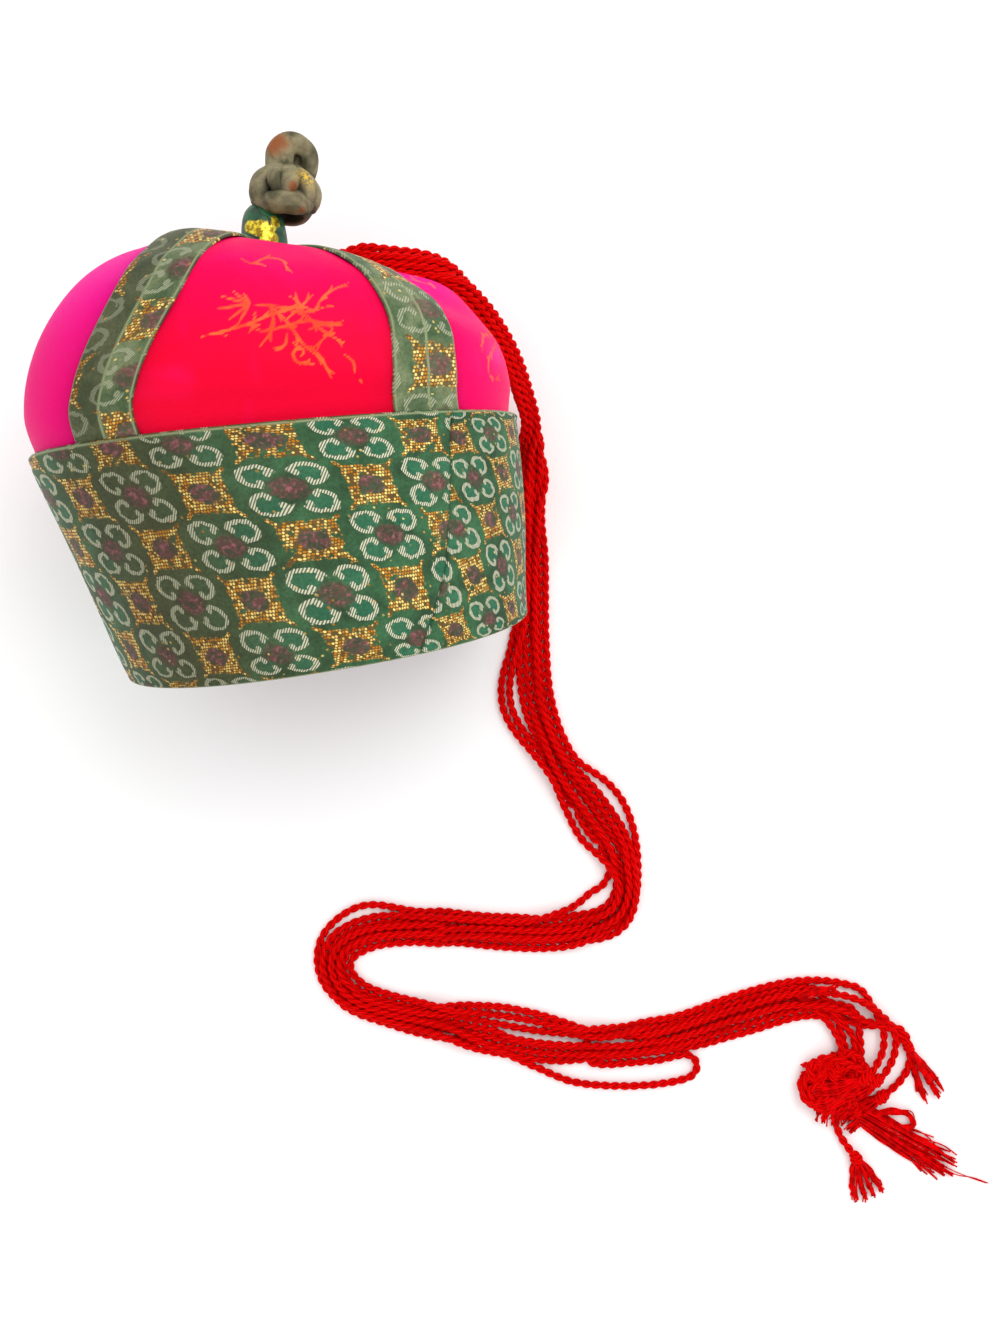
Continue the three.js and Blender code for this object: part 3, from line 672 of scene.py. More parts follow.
def brocade_material():
    """Green brocade with a lattice of cream scroll medallions and gold dotted medallions."""
    shader = Shader("brocade", roughness=0.5, specular=0.15)
    column, row = shader.uv()
    cell_x, cell_y = (column + 0.5).floor(), (row + 0.5).floor()
    x, y = (column - cell_x) * CELL_WIDE, (row - cell_y) * CELL_TALL
    odd = ((cell_x + cell_y) * 0.5).fract().step(0.2, 0.3)
    ax, ay = abs(x), abs(y)
    warp = (shader.noise(330, 2) - 0.5) * 3.2
    # The cream medallion: an open scroll in each quarter, whose ends curl in towards the middle.
    from_x, from_y = (ax - 10.6 + warp) / 7.9, (ay - 7.3 + warp) / 5.2
    far = length_of(from_x, from_y)
    facing = (from_x * -0.8 + from_y * -0.6) / far
    scroll = (abs(far - 1 + warp * 0.05) * 6.3).step(1.5, 1.0) * facing.step(0.74, 0.52)
    for bulb_x, bulb_y in ((10.0, 3.6), (5.2, 8.2)):
        scroll = scroll.most(length_of(ax - bulb_x, ay - bulb_y).step(2.05, 1.45))
    scroll = scroll * (1 - odd)
    inside = far.step(0.9, 0.65) * (1 - odd)
    stitch = ripple((x * 0.95 + y * 0.75) / 1.45)
    petals = shader.noise(300, 3, 0.6)
    heart = (length_of(x / 9.0, y / 6.0) + (petals - 0.5) * 1.6).step(1.15, 0.75)
    # The gold medallion: a broad wreath of gold dots with a spike at each corner.
    outer = (ax / 14.2).most(ay / 10.8)
    within = length_of(ax / 8.2, ay / 5.6) + (petals - 0.5) * 0.7
    notch = ax.least(ay * 1.3).step(0.5, 1.5).most(outer.step(0.86, 0.8))
    wreath = (outer + warp * 0.07).step(1.0, 0.9) * within.step(0.85, 1.05) * notch
    wreath = wreath * shader.noise(200, 2).step(0.34, 0.42)
    spike = abs(ax / 14.2 - ay / 10.8).step(0.15, 0.09) * outer.step(1.22, 1.14)
    wreath = wreath.most(spike * outer.step(0.7, 0.8)) * odd
    # The gold is laid in rows of dots, of which some are missing.
    dot_y = y / 1.6 + x / 30 + warp * 0.2
    dot_x = x / 1.8 + dot_y.floor() * 0.37 + warp * 0.16
    luck = shader.speckle(dot_x.floor() + cell_x * 41, dot_y.floor() + cell_y * 17)
    bead = length_of(dot_x.fract() - 0.5, dot_y.fract() - 0.5).step(0.52, 0.3)
    gold = (wreath * luck.step(0.18, 0.24)).most(luck.step(0.988, 0.994) * 0.6) * bead
    # The ground, from deep green to a grey-green paled by painted sheen, darker and duller under painted
    # shade, and the flower's heart on it.
    blot = shader.noise(60, 3, 0.5)
    slub = shader.noise(700, 2)
    twill = ripple((x + y * 1.15) / 0.8 + slub * (2 / math.pi))
    green = shader.mix(blot.step(0.3, 0.72), (0.012, 0.052, 0.022), (0.016, 0.125, 0.050))
    green = shader.mix(inside * 0.7, green, (0.008, 0.150, 0.080))
    sheen_sage = shader.mix(blot.step(0.3, 0.7), (0.050, 0.098, 0.040), (0.175, 0.215, 0.108))
    ground = shader.mix(shader.field("pale_sheen"), green, sheen_sage)
    dull_shade = shader.mix(blot, (0.036, 0.036, 0.014), (0.085, 0.085, 0.036))
    ground = shader.mix(shader.field("dull_shade"), ground, dull_shade)
    ground = shader.mix(heart * 0.6, ground, (0.062, 0.042, 0.030))
    colour = shader.shade(ground, twill * 0.6 + slub * 0.9 + 0.2)
    mauve = shader.mix(shader.noise(520, 2).step(0.45, 0.7), (0.12, 0.042, 0.040), (0.36, 0.10, 0.13))
    colour = shader.mix(heart * petals.step(0.4, 0.6) * 0.7, colour, mauve)
    cream = shader.mix(stitch.step(0.2, 0.7), (0.06, 0.095, 0.045), (0.70, 0.68, 0.51))
    # The cream is darkened by painted shade and paled by painted sheen.
    cream = shader.mix(shader.field("dull_shade") * 0.6, cream, (0.15, 0.15, 0.075))
    cream = shader.mix(shader.field("pale_sheen") * 0.45, cream, (0.25, 0.28, 0.16))
    colour = shader.mix(scroll * (0.95 - shader.field("pale_sheen") * 0.35), colour, cream)
    colour = shader.mix(wreath * 0.7, colour, (0.13, 0.055, 0.010))
    # Each gold dot's colour is random, from worn brown to a painted glint. Painted shade browns the gold
    # where the cloth faces away from the light.
    wear_and_glint = shader.speckle(dot_y.floor() + 3, dot_x.floor() + cell_x * 11)
    bright = shader.mix(wear_and_glint.step(0.15, 0.9), (0.50, 0.18, 0.012), (1.0, 0.78, 0.24))
    bright = shader.mix(shader.field("dull_shade") * 0.5, bright, (0.30, 0.15, 0.02))
    colour = shader.mix(gold, colour, bright)
    colour = shader.mix(shader.field("line").step(0.05, 0.8), colour, (0.23, 0.27, 0.14))
    colour = shader.shade(colour, shader.field("shade"))
    height = scroll * (0.8 + stitch * 0.6) + gold + wreath * 0.3 + twill * 0.2 + petals * heart * 0.4
    return shader.finish(colour, height, 0.5 - gold * 0.18, gold * 0.45, depth=0.0004, strength=0.8)


def knot_material():
    shader = Shader("knot_cloth", roughness=0.6, specular=0.25)
    blot, fine = shader.noise(75, 3, 0.8), shader.noise(900, 2)
    colour = shader.mix(blot.step(0.3, 0.62), (0.075, 0.07, 0.034), (0.27, 0.235, 0.13))
    rust = shader.field("rust") + (shader.noise(60, 2) - 0.5) * 0.5
    colour = shader.mix(rust.step(0.35, 0.75), colour, (0.26, 0.075, 0.018))
    gold = shader.field("gold") * shader.noise(700, 1).step(0.42, 0.52)
    colour = shader.mix(gold, colour, (0.80, 0.50, 0.06))
    colour = shader.shade(colour, fine * 0.5 + 0.75)
    colour = shader.shade(colour, shader.field("shade"))
    return shader.finish(colour, fine, None, gold * 0.6, depth=0.0004, strength=0.6)


def foil_material():
    shader = Shader("collar_cloth", roughness=0.35, specular=0.5)
    blot, fine = shader.noise(140, 3, 1.0), shader.noise(800, 2)
    colour = shader.mix(blot.step(0.35, 0.62), (0.002, 0.022, 0.008), (0.004, 0.095, 0.026))
    gold = (shader.field("gold") + (blot - 0.5) * 0.8).step(0.4, 0.6)
    leaf = shader.mix(shader.noise(420, 2).step(0.4, 0.6), (0.32, 0.20, 0.01), (0.93, 0.72, 0.05))
    colour = shader.mix(gold, colour, leaf)
    return shader.finish(colour, fine * 0.5 + blot * 2, 0.42 - gold * 0.2, gold * 0.65, depth=0.0006)


def cord_material():
    shader = Shader("cord", roughness=0.65, specular=0.04)
    along, around = shader.uv()
    thread = ripple(around * 5 + along * 0.5)
    fuzz = shader.noise(1500, 2)
    colour = shader.mix(thread.step(0.1, 0.8), (0.46, 0.0, 0.0), (0.84, 0.0, 0.0))
    colour = shader.shade(colour, fuzz * 0.4 + 0.8)
    return shader.finish(colour, thread * 0.8 + fuzz * 0.5, depth=0.00025, strength=0.6)


def thread_material():
    shader = Shader("tassel_thread", roughness=0.65, specular=0.04)
    hue = shader.noise(260, 2).step(0.3, 0.7)
    return shader.finish(shader.mix(hue, (0.46, 0.0, 0.0), (0.86, 0.0, 0.001)))


brocade = brocade_material()
knot_cloth, foil = knot_material(), foil_material()
cord_red, thread_red = cord_material(), thread_material()
# Each gore's silk: its colour low on the gore, high on it, and in patches of painted sheen. The colours
# differ from gore to gore and change up each gore as painted sheen on the silk's own red.
SILK_COLOURS_AND_SHEEN = {
    "front": ((0.80, 0.0, 0.026), (0.98, 0.0, 0.12), (1.0, 0.008, 0.20)),
    "right": ((0.90, 0.0, 0.12), (0.98, 0.0, 0.27), (0.95, 0.06, 0.52)),
    "back": ((0.80, 0.0, 0.05), (0.90, 0.0, 0.14), (0.95, 0.02, 0.22)),
    "left": ((0.78, 0.0, 0.16), (0.88, 0.0, 0.30), (0.92, 0.004, 0.36)),
}


# The cap's cloth.
def skin(name, turn, along, outer, inner, lift, coarse, material, uv, fields):
    """A closed wall: a fine outer sheet and a coarse inner one."""
    rows, columns = turn.shape
    fine = cloth(turn, along, outer, lift)
    pick_i = np.unique(np.append(np.arange(0, rows, coarse), rows - 1))
    pick_j = np.unique(np.append(np.arange(0, columns, coarse), columns - 1))
    pick = np.ix_(pick_i, pick_j)
    inside = cloth(turn[pick], along[pick], inner, np.minimum(lift[pick], 0) * 0.6)
    border = np.zeros(inside.shape[:2], bool)
    border[[0, -1]], border[:, [0, -1]] = True, True
    inside[border] = fine[pick][border]
    points = np.vstack([fine.reshape(-1, 3), inside.reshape(-1, 3)])
    back = grid_faces(len(pick_i), len(pick_j))[:, ::-1] + rows * columns
    faces = np.vstack([grid_faces(rows, columns), back]).tolist()
    both = lambda values: np.concatenate([values.ravel(), values[pick].ravel()])
    uv = np.stack([both(uv[0]), both(uv[1])], 1)
    fields = {key: both(np.broadcast_to(values, turn.shape)) for key, values in fields.items()}
    return make_mesh(name, points, faces, material, uv, fields)


def lumps(turn, along, scale_turn, scale_along, seed, terms=7):
    """Smooth random relief between about -1 and 1 over the cloth."""
    picks = np.random.default_rng(seed)
    total = np.zeros(np.broadcast_shapes(turn.shape, along.shape))
    for _ in range(terms):
        a, b = picks.normal(0, 1, 2)
        phase = picks.uniform(0, 2 * math.pi)
        total += np.sin(a * turn * scale_turn + b * along * scale_along + phase)
    return total / terms ** 0.5 * 0.7


# The damask's figure: strokes across and up a gore, in millimetres from the middle of its lower edge.
SPRIG = [
    ((-2, 52), (-15, 50)), ((-2, 52), (-13, 56)), ((-2, 52), (-8, 58)), ((-2, 52), (-10, 45)),
    ((-2, 52), (-6, 44)), ((-2, 52), (-4, 57)), ((-2, 52), (7, 51), (18, 48), (29, 52)),
    ((4, 52), (11, 44), (18, 33), (26, 26)), ((18, 48), (25, 40), (35, 34)),
    ((5, 51), (6, 42), (1, 33)), ((11, 39), (10, 33), (4, 32)), ((19, 40), (27, 43), (35, 42)),
    ((18, 48), (15, 54), (12, 56)), ((22, 49), (27, 57), (38, 65)), ((11, 45), (16, 50), (22, 57)),
    ((16, 28), (18, 31), (15, 32), (13, 29), (16, 25), (20, 27)), ((20, 33), (24, 28), (28, 18)),
    ((34, 29), (38, 25), (38, 20)), ((40, 17), (41, 15)), ((-5, 75), (-1, 72), (4, 77), (10, 77), (12, 69)),
]
SPRIG_MIDDLE = (12, 42)
CURLS = [
    ((-31, 41), (-26, 34), (-44, 24), (-49, 16), (-36, 14)), ((-9, 46), (-23, 39), (-43, 33), (-51, 24)),
]
LEAF = [((-16, 10), (-21, 8), (-24, 5))]


def moved(strokes, right, up, turned=0, flip=1):
    """Strokes turned about the sprig's middle, and mirrored where flip is -1."""
    c, s = math.cos(math.radians(turned)), math.sin(math.radians(turned))
    turn = lambda x, y: (flip * x * c - y * s + right, flip * x * s + y * c + up)
    return [tuple(turn(x - SPRIG_MIDDLE[0], y - SPRIG_MIDDLE[1]) for x, y in stroke) for stroke in strokes]


FIGURES = {
    "front": SPRIG + moved(SPRIG, -52, 84, 100) + moved(CURLS, -34, 22, 40, -1),
    "right": CURLS + moved(SPRIG, 12, 70, 60) + moved(SPRIG, 44, 24, -30, -1),
    "back": moved(SPRIG, 0, 46, 0, -1) + moved(SPRIG, -40, 84, 120) + moved(CURLS, 62, 30),
    "left": LEAF + moved(SPRIG, 10, 62, 140) + moved(SPRIG, -38, 30, 20),
}


def feathered(strokes):
    """Adds small leaves along the longer stems."""
    made = list(strokes)
    for stroke in strokes:
        if len(stroke) < 3:
            continue
        line = through(stroke, 1.0)
        for k, at in enumerate(range(5, len(line) - 3, 6)):
            ahead = line[min(at + 2, len(line) - 1)] - line[at - 1]
            ahead = ahead / (np.linalg.norm(ahead) + 1e-9)
            side = np.array([-ahead[1], ahead[0]]) * (1 if k % 2 else -1)
            tip = line[at] + ahead * 4.6 + side * 2.0
            middle = line[at] + ahead * 2.4 + side * 0.5
            made.append(tuple(map(tuple, (line[at], middle, tip))))
    return made


def figure_field(across, up, strokes):
    """How much of the damask's figure is at each point: 1 on a stroke, and 0 away from it."""
    total = np.zeros(across.shape)
    places = np.stack([across, up], -1)
    for stroke in strokes:
        line = through(stroke, 2.5) if len(stroke) > 2 else np.array(stroke, float)
        length = max(1e-6, np.linalg.norm(np.diff(line, axis=0), axis=1).sum())
        done = 0.0
        for a, b in zip(line, line[1:]):
            near = (np.abs(across - (a[0] + b[0]) / 2) < 12) & (np.abs(up - (a[1] + b[1]) / 2) < 12)
            step = np.linalg.norm(b - a)
            if near.any():
                away = places[near] - a
                t = np.clip((away @ (b - a)) / (step * step), 0, 1)
                far = np.linalg.norm(away - t[:, None] * (b - a), axis=1)
                share = (done + t * step) / length
                wide = 0.2 + 0.42 * np.sin(math.pi * np.clip(share * 0.9 + 0.08, 0, 1))
                total[near] = np.maximum(total[near], bell(far, wide))
            done += step
    return total


# Gores and strips in order round the cap, and the section where their hems lie inside the band.
GORES = ("front", "right", "back", "left")
STRIPS = ("front_right", "back_right", "back_left", "front_left")
BAND_SIDE = BAND_HEIGHT * (BAND_ROWS[2][0] - BAND_ROWS[1][0])
LOW = BAND_TOP - TUCK / BAND_SIDE


def heights_up(along, turn):
    """Lengths up the cloth from the band's top edge."""
    path = plain(turn, along)
    step = np.linalg.norm(np.diff(path, axis=0), axis=-1)
    up = np.concatenate([[0], np.cumsum(step)])
    return up - np.interp(BAND_TOP, along, up)


def make_gore(number):
    name = GORES[number]
    # The front gore is the nearest one and has the finest cloth.
    rows, columns = (201, 257) if name == "front" else (121, 145)
    along = np.linspace(LOW, APEX, rows)
    share = np.linspace(0, 1, columns)[None, :]
    section = along[:, None]
    start, end = seam_turn(number - 1, section), seam_turn(number, section)
    start = start + turn_of(CLEARANCE / 2, start, section)
    end = end - turn_of(CLEARANCE / 2, end, section)
    turn = start + (end - start) * share
    section = np.broadcast_to(section, turn.shape)
    middle = math.radians(90 * number)
    up = heights_up(along, np.full(rows, middle))[:, None] * np.ones_like(share)
    circle = 1 / turn_of(1.0, turn, section)
    across = (turn - middle) * (circle * 0.5 + circle.mean(1, keepdims=True) * 0.5)
    figure = figure_field(across, up, feathered(FIGURES[name]))
    # Soft puckers run in from the strips, and the silk sags a little between them.
    edge = np.minimum(turn - start, end - turn) * circle
    pucker = np.sin(up / 5.2 + 2 * lumps(turn, section, 2, 1.2, 3 + number)) * bell(edge - 15, 9)
    lift = 0.35 * pucker + 0.55 * lumps(turn, section, 5, 2.2, 20 + number)
    lift = lift * (1 - smooth(section, APEX - 1.5, APEX)) * smooth(section, BAND_TOP - 0.05, BAND_TOP + 0.25)
    lift = np.minimum(lift - 0.15, 0.28)
    if name == "right":
        # The silk billows at its shoulder.
        lift = lift + 4.0 * np.exp(-(((turn - math.radians(84)) / 0.2) ** 2) - ((section - 5.4) / 0.75) ** 2)
    # The hem fills the space inside the band between the strips.
    hem = smooth(BAND_TOP - section, 0.02, 0.06) * smooth(edge, STRIP_WIDTH / 2 + 1, STRIP_WIDTH / 2 + 3)
    lift = lift + 1.7 * hem
    fields = {"figure": figure, "shade": 1 - 0.25 * np.exp(-np.maximum(edge - STRIP_WIDTH / 2, 0) / 6)}
    silk = silk_material(f"silk_{name}", *SILK_COLOURS_AND_SHEEN[name])
    node = f"crown_gore_{name}"
    piece = skin(f"{node}_silk", turn, section, 0, -SILK_THICKNESS, lift, 6, silk, (across, up), fields)
    place(piece, "silk", node)


def rounded(distance, reach):
    """A share of a fold's thickness near its edge."""
    near = np.clip(1 - distance / reach, 0, 1)
    return np.sqrt(1 - near * near * 0.999)


STRIP_ROWS = 150
# Each strip: where its medallions lie, the place of its fold, and how much painted shade darkens each of its
# two sides.
STRIP_LOOKS = {
    "front_left": (0.62, 0.05, 1.0, (0.7, 0.25)),
    "front_right": (0.86, 0.80, 0.0, (0.0, 0.0)),
    "back_right": (0.3, 0.4, 2.0, (0.2, 0.3)),
    "back_left": (0.15, 0.6, -1.0, (0.3, 0.2)),
}


def make_strip(number):
    name = STRIPS[number]
    start_column, start_row, fold, dull_shades = STRIP_LOOKS[name]
    along = np.linspace(LOW, APEX, STRIP_ROWS)[:, None]
    hem = np.array([1, 0.992, 0.975, 0.95, 0.91])
    sides = np.concatenate([-hem, np.linspace(-0.86, 0.86, 31), hem[::-1]])
    middle = seam_turn(number, along)
    turns = []
    for side in (-1, 1):
        mitre = (middle + seam_turn(number + side, along)) / 2
        wanted = turn_of(STRIP_WIDTH / 2, middle, along)
        free = np.abs(mitre - middle) - turn_of(CLEARANCE, mitre, along)
        if name == "front_right" and side > 0:
            # The shoulder under this strip bulges, and shows more of it.
            bulge = smooth(along, 4.0, 5.6) * (1 - smooth(along, 6.4, 7.4))
            wanted = wanted + turn_of(9.0, middle, along) * bulge
        turns.append(middle + side * np.minimum(wanted, free))
    turn = turns[0] + (turns[1] - turns[0]) * (sides + 1) / 2
    section = np.broadcast_to(along, turn.shape)
    circle = 1 / turn_of(1.0, turn, section)
    from_edge = np.minimum(turn - turns[0], turns[1] - turn) * circle
    across = (turn - middle) * circle
    up = heights_up(along[:, 0], middle[:, 0])[:, None] * np.ones_like(turn)
    thick = STRIP_THICKNESS * rounded(from_edge, 1.5)
    crease = bell(across - fold, 0.9)
    lift = thick - STRIP_THICKNESS + 0.3 * lumps(turn, section, 6, 3, 40 + number) * smooth(from_edge, 1, 5)
    lift = lift - 0.25 * crease - 0.2
    slack = smooth(section, APEX - 2.5, APEX - 0.4)
    lift = lift * (1 - slack) + np.minimum(lift, 0) * slack
    line = bell(across - fold, 0.7) * (1 if "front" in name else 0.4)
    line = np.maximum(line, 0.75 * bell(from_edge - 1.0, 0.55))
    shade = 1.15 - 0.35 * bell(from_edge, 0.5)
    # Painted shade: one side of the fold is darker and duller than the other.
    left = smooth(across - fold, 1, -1)
    dull_shade = dull_shades[0] * left + dull_shades[1] * (1 - left)
    if name == "front_left":
        shade = shade * (1 - 0.25 * left)
    uv = ((across / CELL_WIDE + start_column), (-up / CELL_TALL + start_row))
    fields = {"line": line, "shade": shade, "pale_sheen": 1.0, "dull_shade": dull_shade}
    node = f"seam_strip_{name}"
    piece = skin(f"{node}_brocade", turn, section, STRIP_OUTER, STRIP_INNER, lift, 5, brocade, uv, fields)
    place(piece, "brocade", node)


# The band's pattern on each side of its seam. Its columns and its rows of medallions are each
# a share of the turn in degrees, a share of the section, and a start.
LATTICE_LEFT = ((0.0624, 0.2801, 0.562), (-0.006, -2.5377, 4.636))
LATTICE_RIGHT = ((0.0744, 0.8802, 0.325), (0.0038, -2.6926, 4.4189))
# So many columns of medallions go round the band.
COLUMNS_ROUND = 24
# The band's seam: sections up it, and a turn in degrees.
BAND_SEAM = [(0.0, 21.0), (0.18, 23.5), (0.71, 33.2), (1.4, 38.5), (2.0, 42.3)]


def lattice(fit, turn, along):
    return [a * turn + b * along + c for a, b, c in fit]


# A stitched line runs this far from the band's folded edges. Its cloth has the most painted shade round this
# turn, where it faces away from the light.
STITCHED_AT, SHADED_TURN = 5.5, -35


def make_band():
    edge = np.array([0, 0.15, 0.5, 1.0, 1.7, 2.6, 3.8])
    rows_mm = np.linspace(STITCHED_AT, BAND_HEIGHT - STITCHED_AT, 50)
    rows_mm = np.concatenate([edge, rows_mm, BAND_HEIGHT - edge[::-1]])
    along = np.interp(rows_mm, [row[0] * BAND_HEIGHT for row in BAND_ROWS], [0, 1, 2])[:, None]
    near = np.array([0, 0.0006, 0.0014, 0.0025, 0.004])
    share = np.concatenate([near, np.linspace(0.006, 0.994, 331), 1 - near[::-1]])[None, :]
    seam = np.interp(along, *zip(*BAND_SEAM))
    degrees = seam + 360 * share
    turn = np.radians(degrees)
    section = np.broadcast_to(along, turn.shape)
    circle = 1 / turn_of(1.0, turn, section)
    from_rim, from_top = rows_mm[:, None], BAND_HEIGHT - rows_mm[:, None]
    from_end = np.minimum(from_rim, from_top) * np.ones_like(turn)
    from_seam = np.minimum(share, 1 - share) * 2 * math.pi * circle
    thick = BAND_THICKNESS * (rounded(from_end, 2.2) - 1)
    waves = lumps(turn, section, 4, 1.6, 61) * 0.8 + lumps(turn, section, 11, 4, 62) * 0.3
    waves = np.minimum(waves, 0.55) * smooth(from_end, 0, 9)
    lift = thick + waves - 0.55 - 0.9 * bell(from_seam, 1.1)
    lift = lift - 0.35 * bell(from_end - STITCHED_AT, 1.2)
    right, left = lattice(LATTICE_RIGHT, degrees, section), lattice(LATTICE_LEFT, degrees - 360, section)
    blend = smooth(share, 0.3, 0.8)
    column = right[0] + (left[0] + COLUMNS_ROUND - right[0]) * blend
    row = right[1] + (left[1] - right[1]) * blend
    line = 0.8 * bell(from_end - 1.0, 0.7)
    # Painted shade: the band is darker and duller round the turn where it faces away from the light.
    away = np.abs((degrees - SHADED_TURN + 180) % 360 - 180)
    dull_shade = 0.75 * bell(away, 26) + 0.15
    shade = 1.25 - 0.35 * bell(away, 30) - 0.45 * bell(from_seam, 0.8)
    shade = shade - 0.25 * bell(from_end, 0.5)
    fields = {"line": line, "shade": shade, "pale_sheen": 0.1, "dull_shade": dull_shade}
    uv = (column, row)
    piece = skin("brim_band_brocade", turn, section, BAND_OUTER, BAND_INNER, lift, 3, brocade, uv, fields)
    place(piece, "brocade", "brim_band")


for number in range(4):
    make_gore(number)
    make_strip(number)
make_band()


# The finial stands on the crown's top section, in its frame: right, forward and up.
def finial_frame():
    x, z, lean, nod = track(float(APEX))[:4]
    lean, nod = math.radians(lean), math.radians(nod)
    right = np.array([math.cos(lean), 0, -math.sin(lean)])
    forward = np.array([0, -math.cos(nod), math.sin(nod)])
    up = np.cross(forward, right)
    up /= np.linalg.norm(up)
    foot = np.array([x, 0, z]) + up * (STRIP_OUTER + 2 * CLEARANCE)
    return LYING @ foot + PLACE, np.stack([LYING @ right, LYING @ forward, LYING @ up])


FOOT, AXES = finial_frame()
at_finial = lambda points: FOOT + np.asarray(points, float) @ AXES
BALL_MIDDLE, BALL_HALF = (4.2, 0, 41.4), (18.3, 18.0, 15.9)
# Rolls of the knot: longitude from the front to the right, latitude, half thickness and sinking.
ROLLS = [
    (
        (-8, 80, 4, 1), (-34, 68, 5.2, 0), (-56, 48, 6.0, -0.3), (-66, 18, 6.4, -0.6),
        (-62, -14, 6.2, 0), (-44, -44, 5, 1.5),
    ),
    (
        (4, 84, 3, 1), (-18, 66, 3.9, 0.4), (-22, 44, 4.3, -0.2), (-18, 20, 4.2, 0.2), (-12, 0, 3.4, 2),
        (-8, -14, 3, 4),
    ),
    (
        (30, 84, 3.5, 1), (14, 64, 4.8, 0.2), (11, 38, 5.3, -0.4), (11, 10, 5.2, 0.2),
        (9, -10, 4.4, 2.2), (8, -22, 4, 4),
    ),
    (
        (64, 80, 3.5, 1), (46, 58, 4.8, 0.2), (46, 32, 5.4, -0.3), (52, 4, 5.2, 0), (54, -18, 4.6, 0.8),
        (50, -40, 4, 2),
    ),
    ((80, 60, 4, 1.5), (76, 34, 5.2, 0.2), (80, 4, 5.6, 0), (78, -24, 5, 0.6)),
    (
        (-84, -30, 4, 3), (-56, -40, 4.8, 1.4), (-28, -36, 5.6, -0.2), (2, -31, 6.1, -1.2),
        (30, -29, 6.0, -1.2), (56, -27, 5, 0.4), (84, -18, 4, 2.5),
    ),
    ((100, 72, 5, 0.3), (104, 40, 5.8, 0), (108, 8, 6, 0), (106, -26, 5.4, 0.6)),
    ((150, 76, 5, 0.3), (142, 46, 5.8, 0), (146, 14, 6, 0), (140, -22, 5.6, 0.6), (146, -48, 4.8, 1)),
    ((200, 76, 5, 0.3), (192, 48, 5.8, 0), (186, 18, 6, 0), (192, -16, 5.8, 0.4), (186, -46, 5, 1)),
    ((246, 72, 5, 0.3), (242, 42, 5.8, 0), (236, 10, 6, 0), (242, -24, 5.6, 0.6)),
    ((274, 66, 4.5, 0.6), (272, 36, 5.4, 0), (268, 6, 5.6, 0), (270, -26, 5, 0.6)),
    (
        (100, -30, 5, 1.5), (136, -38, 5.8, 0.4), (176, -36, 6, 0), (216, -38, 5.8, 0.4),
        (262, -30, 5, 1.5),
    ),
]
# The loop on top: right, forward, up and half thickness. Its far arm passes behind.
LOOP = [
    (1.0, 0.5, 51.0, 6.2), (0.2, 1.4, 56.5, 7.0), (0.6, 1.6, 62.0, 7.1), (3.4, 1.2, 66.4, 6.4),
    (8.4, 0.2, 67.6, 5.4), (13.2, -1.4, 64.8, 4.5), (15.0, -2.8, 59.6, 4.1), (14.6, -3.6, 54.4, 4.1),
    (12.0, -4.0, 49.6, 4.2),
]
LOOP_BACK = [(3.0, -7.0, 50.0, 4.2), (5.4, -9.0, 56.0, 4.4), (7.6, -8.0, 61.5, 4.2), (9.0, -5.0, 65.0, 3.2)]
# The wraps of the collar: height, shift to the right, and half width.
COLLAR_WRAPS = [
    (0.0, -1.0, 10.6), (3, -1.4, 11.6), (8, -2.0, 11.8), (12, -2.8, 11.4), (13.4, -3.2, 10.0),
    (14.6, -3.4, 11.0), (19, -4.2, 11.2), (24, -5.2, 10.8), (29, -6.0, 9.6), (32.4, -6.2, 7.6),
    (33.6, -6.0, 4.0),
]
ROLL_STEP, ROLL_SIDES = 0.7, 28
COLLAR_STEP, COLLAR_SIDES, COLLAR_FOLDS = 0.6, 48, 5
# Places of colour on the knot, in its frame: weight, place and reach.
BALL_RUST = [(0.9, (8.5, 15, 42), 4), (0.8, (15, 13, 31), 4)]
BALL_GOLD = [(1, (16, 13, 49), 5)]
LOOP_RUST = [(0.72, (-1, 6, 64), 11)]
LOOP_GOLD = [(1, (9, 5, 70), 0.5)]
COLLAR_GOLD = [
    (1, (-6, 11, 21), 5), (1, (0, 11, 17), 4), (0.8, (-12, 8, 22), 3), (0.7, (1, 8, 26), 3.5),
    (0.6, (-8, -9, 10), 5),
]


def spots(points, colours):
    total = 0
    for weight, middle, reach in colours:
        far = np.linalg.norm(points - at_finial(middle), axis=1)
        total = total + weight * bell(far, reach)
    return total


def groove(points):
    """Painted shade: the cloth is darker where it goes down between the rolls of the ball."""
    far = np.linalg.norm((points - at_finial(BALL_MIDDLE)) @ AXES.T / np.array(BALL_HALF), axis=1)
    return 0.16 + 0.84 * smooth(far, 0.8, 0.965)


def roll(rows, rust, gold):
    """A roll of cloth through rows of places and half thickness. Its twist draws it into creases."""
    rows = through(rows, ROLL_STEP)
    line, radius = rows[:, :3], rows[:, 3]
    angle = np.linspace(0, 2 * math.pi, ROLL_SIDES, endpoint=False)[None, :]
    s = (np.arange(len(line)) * ROLL_STEP)[:, None]
    crease = 0.3 * np.sin(angle * 3 + s * 0.12) * np.sin(s * 0.31 + 1.3)
    crease += 0.16 * np.sin(angle * 7 + s * 0.3)
    points, faces = tube(line, radius[:, None] + crease, ROLL_SIDES)
    uv = np.stack([np.repeat(s, ROLL_SIDES), np.tile(angle[0], len(line))], 1)
    fields = {"rust": spots(points, rust), "gold": spots(points, gold), "shade": groove(points)}
    return points, faces, uv, fields


def on_ball(longitude, latitude, half, sunk):
    a, b = math.radians(longitude), math.radians(latitude)
    outwards = np.array([math.cos(b) * math.sin(a), math.cos(b) * math.cos(a), math.sin(b)])
    reach = np.array(BALL_HALF) - half - sunk
    return (*at_finial(np.array(BALL_MIDDLE) + outwards * reach), half)


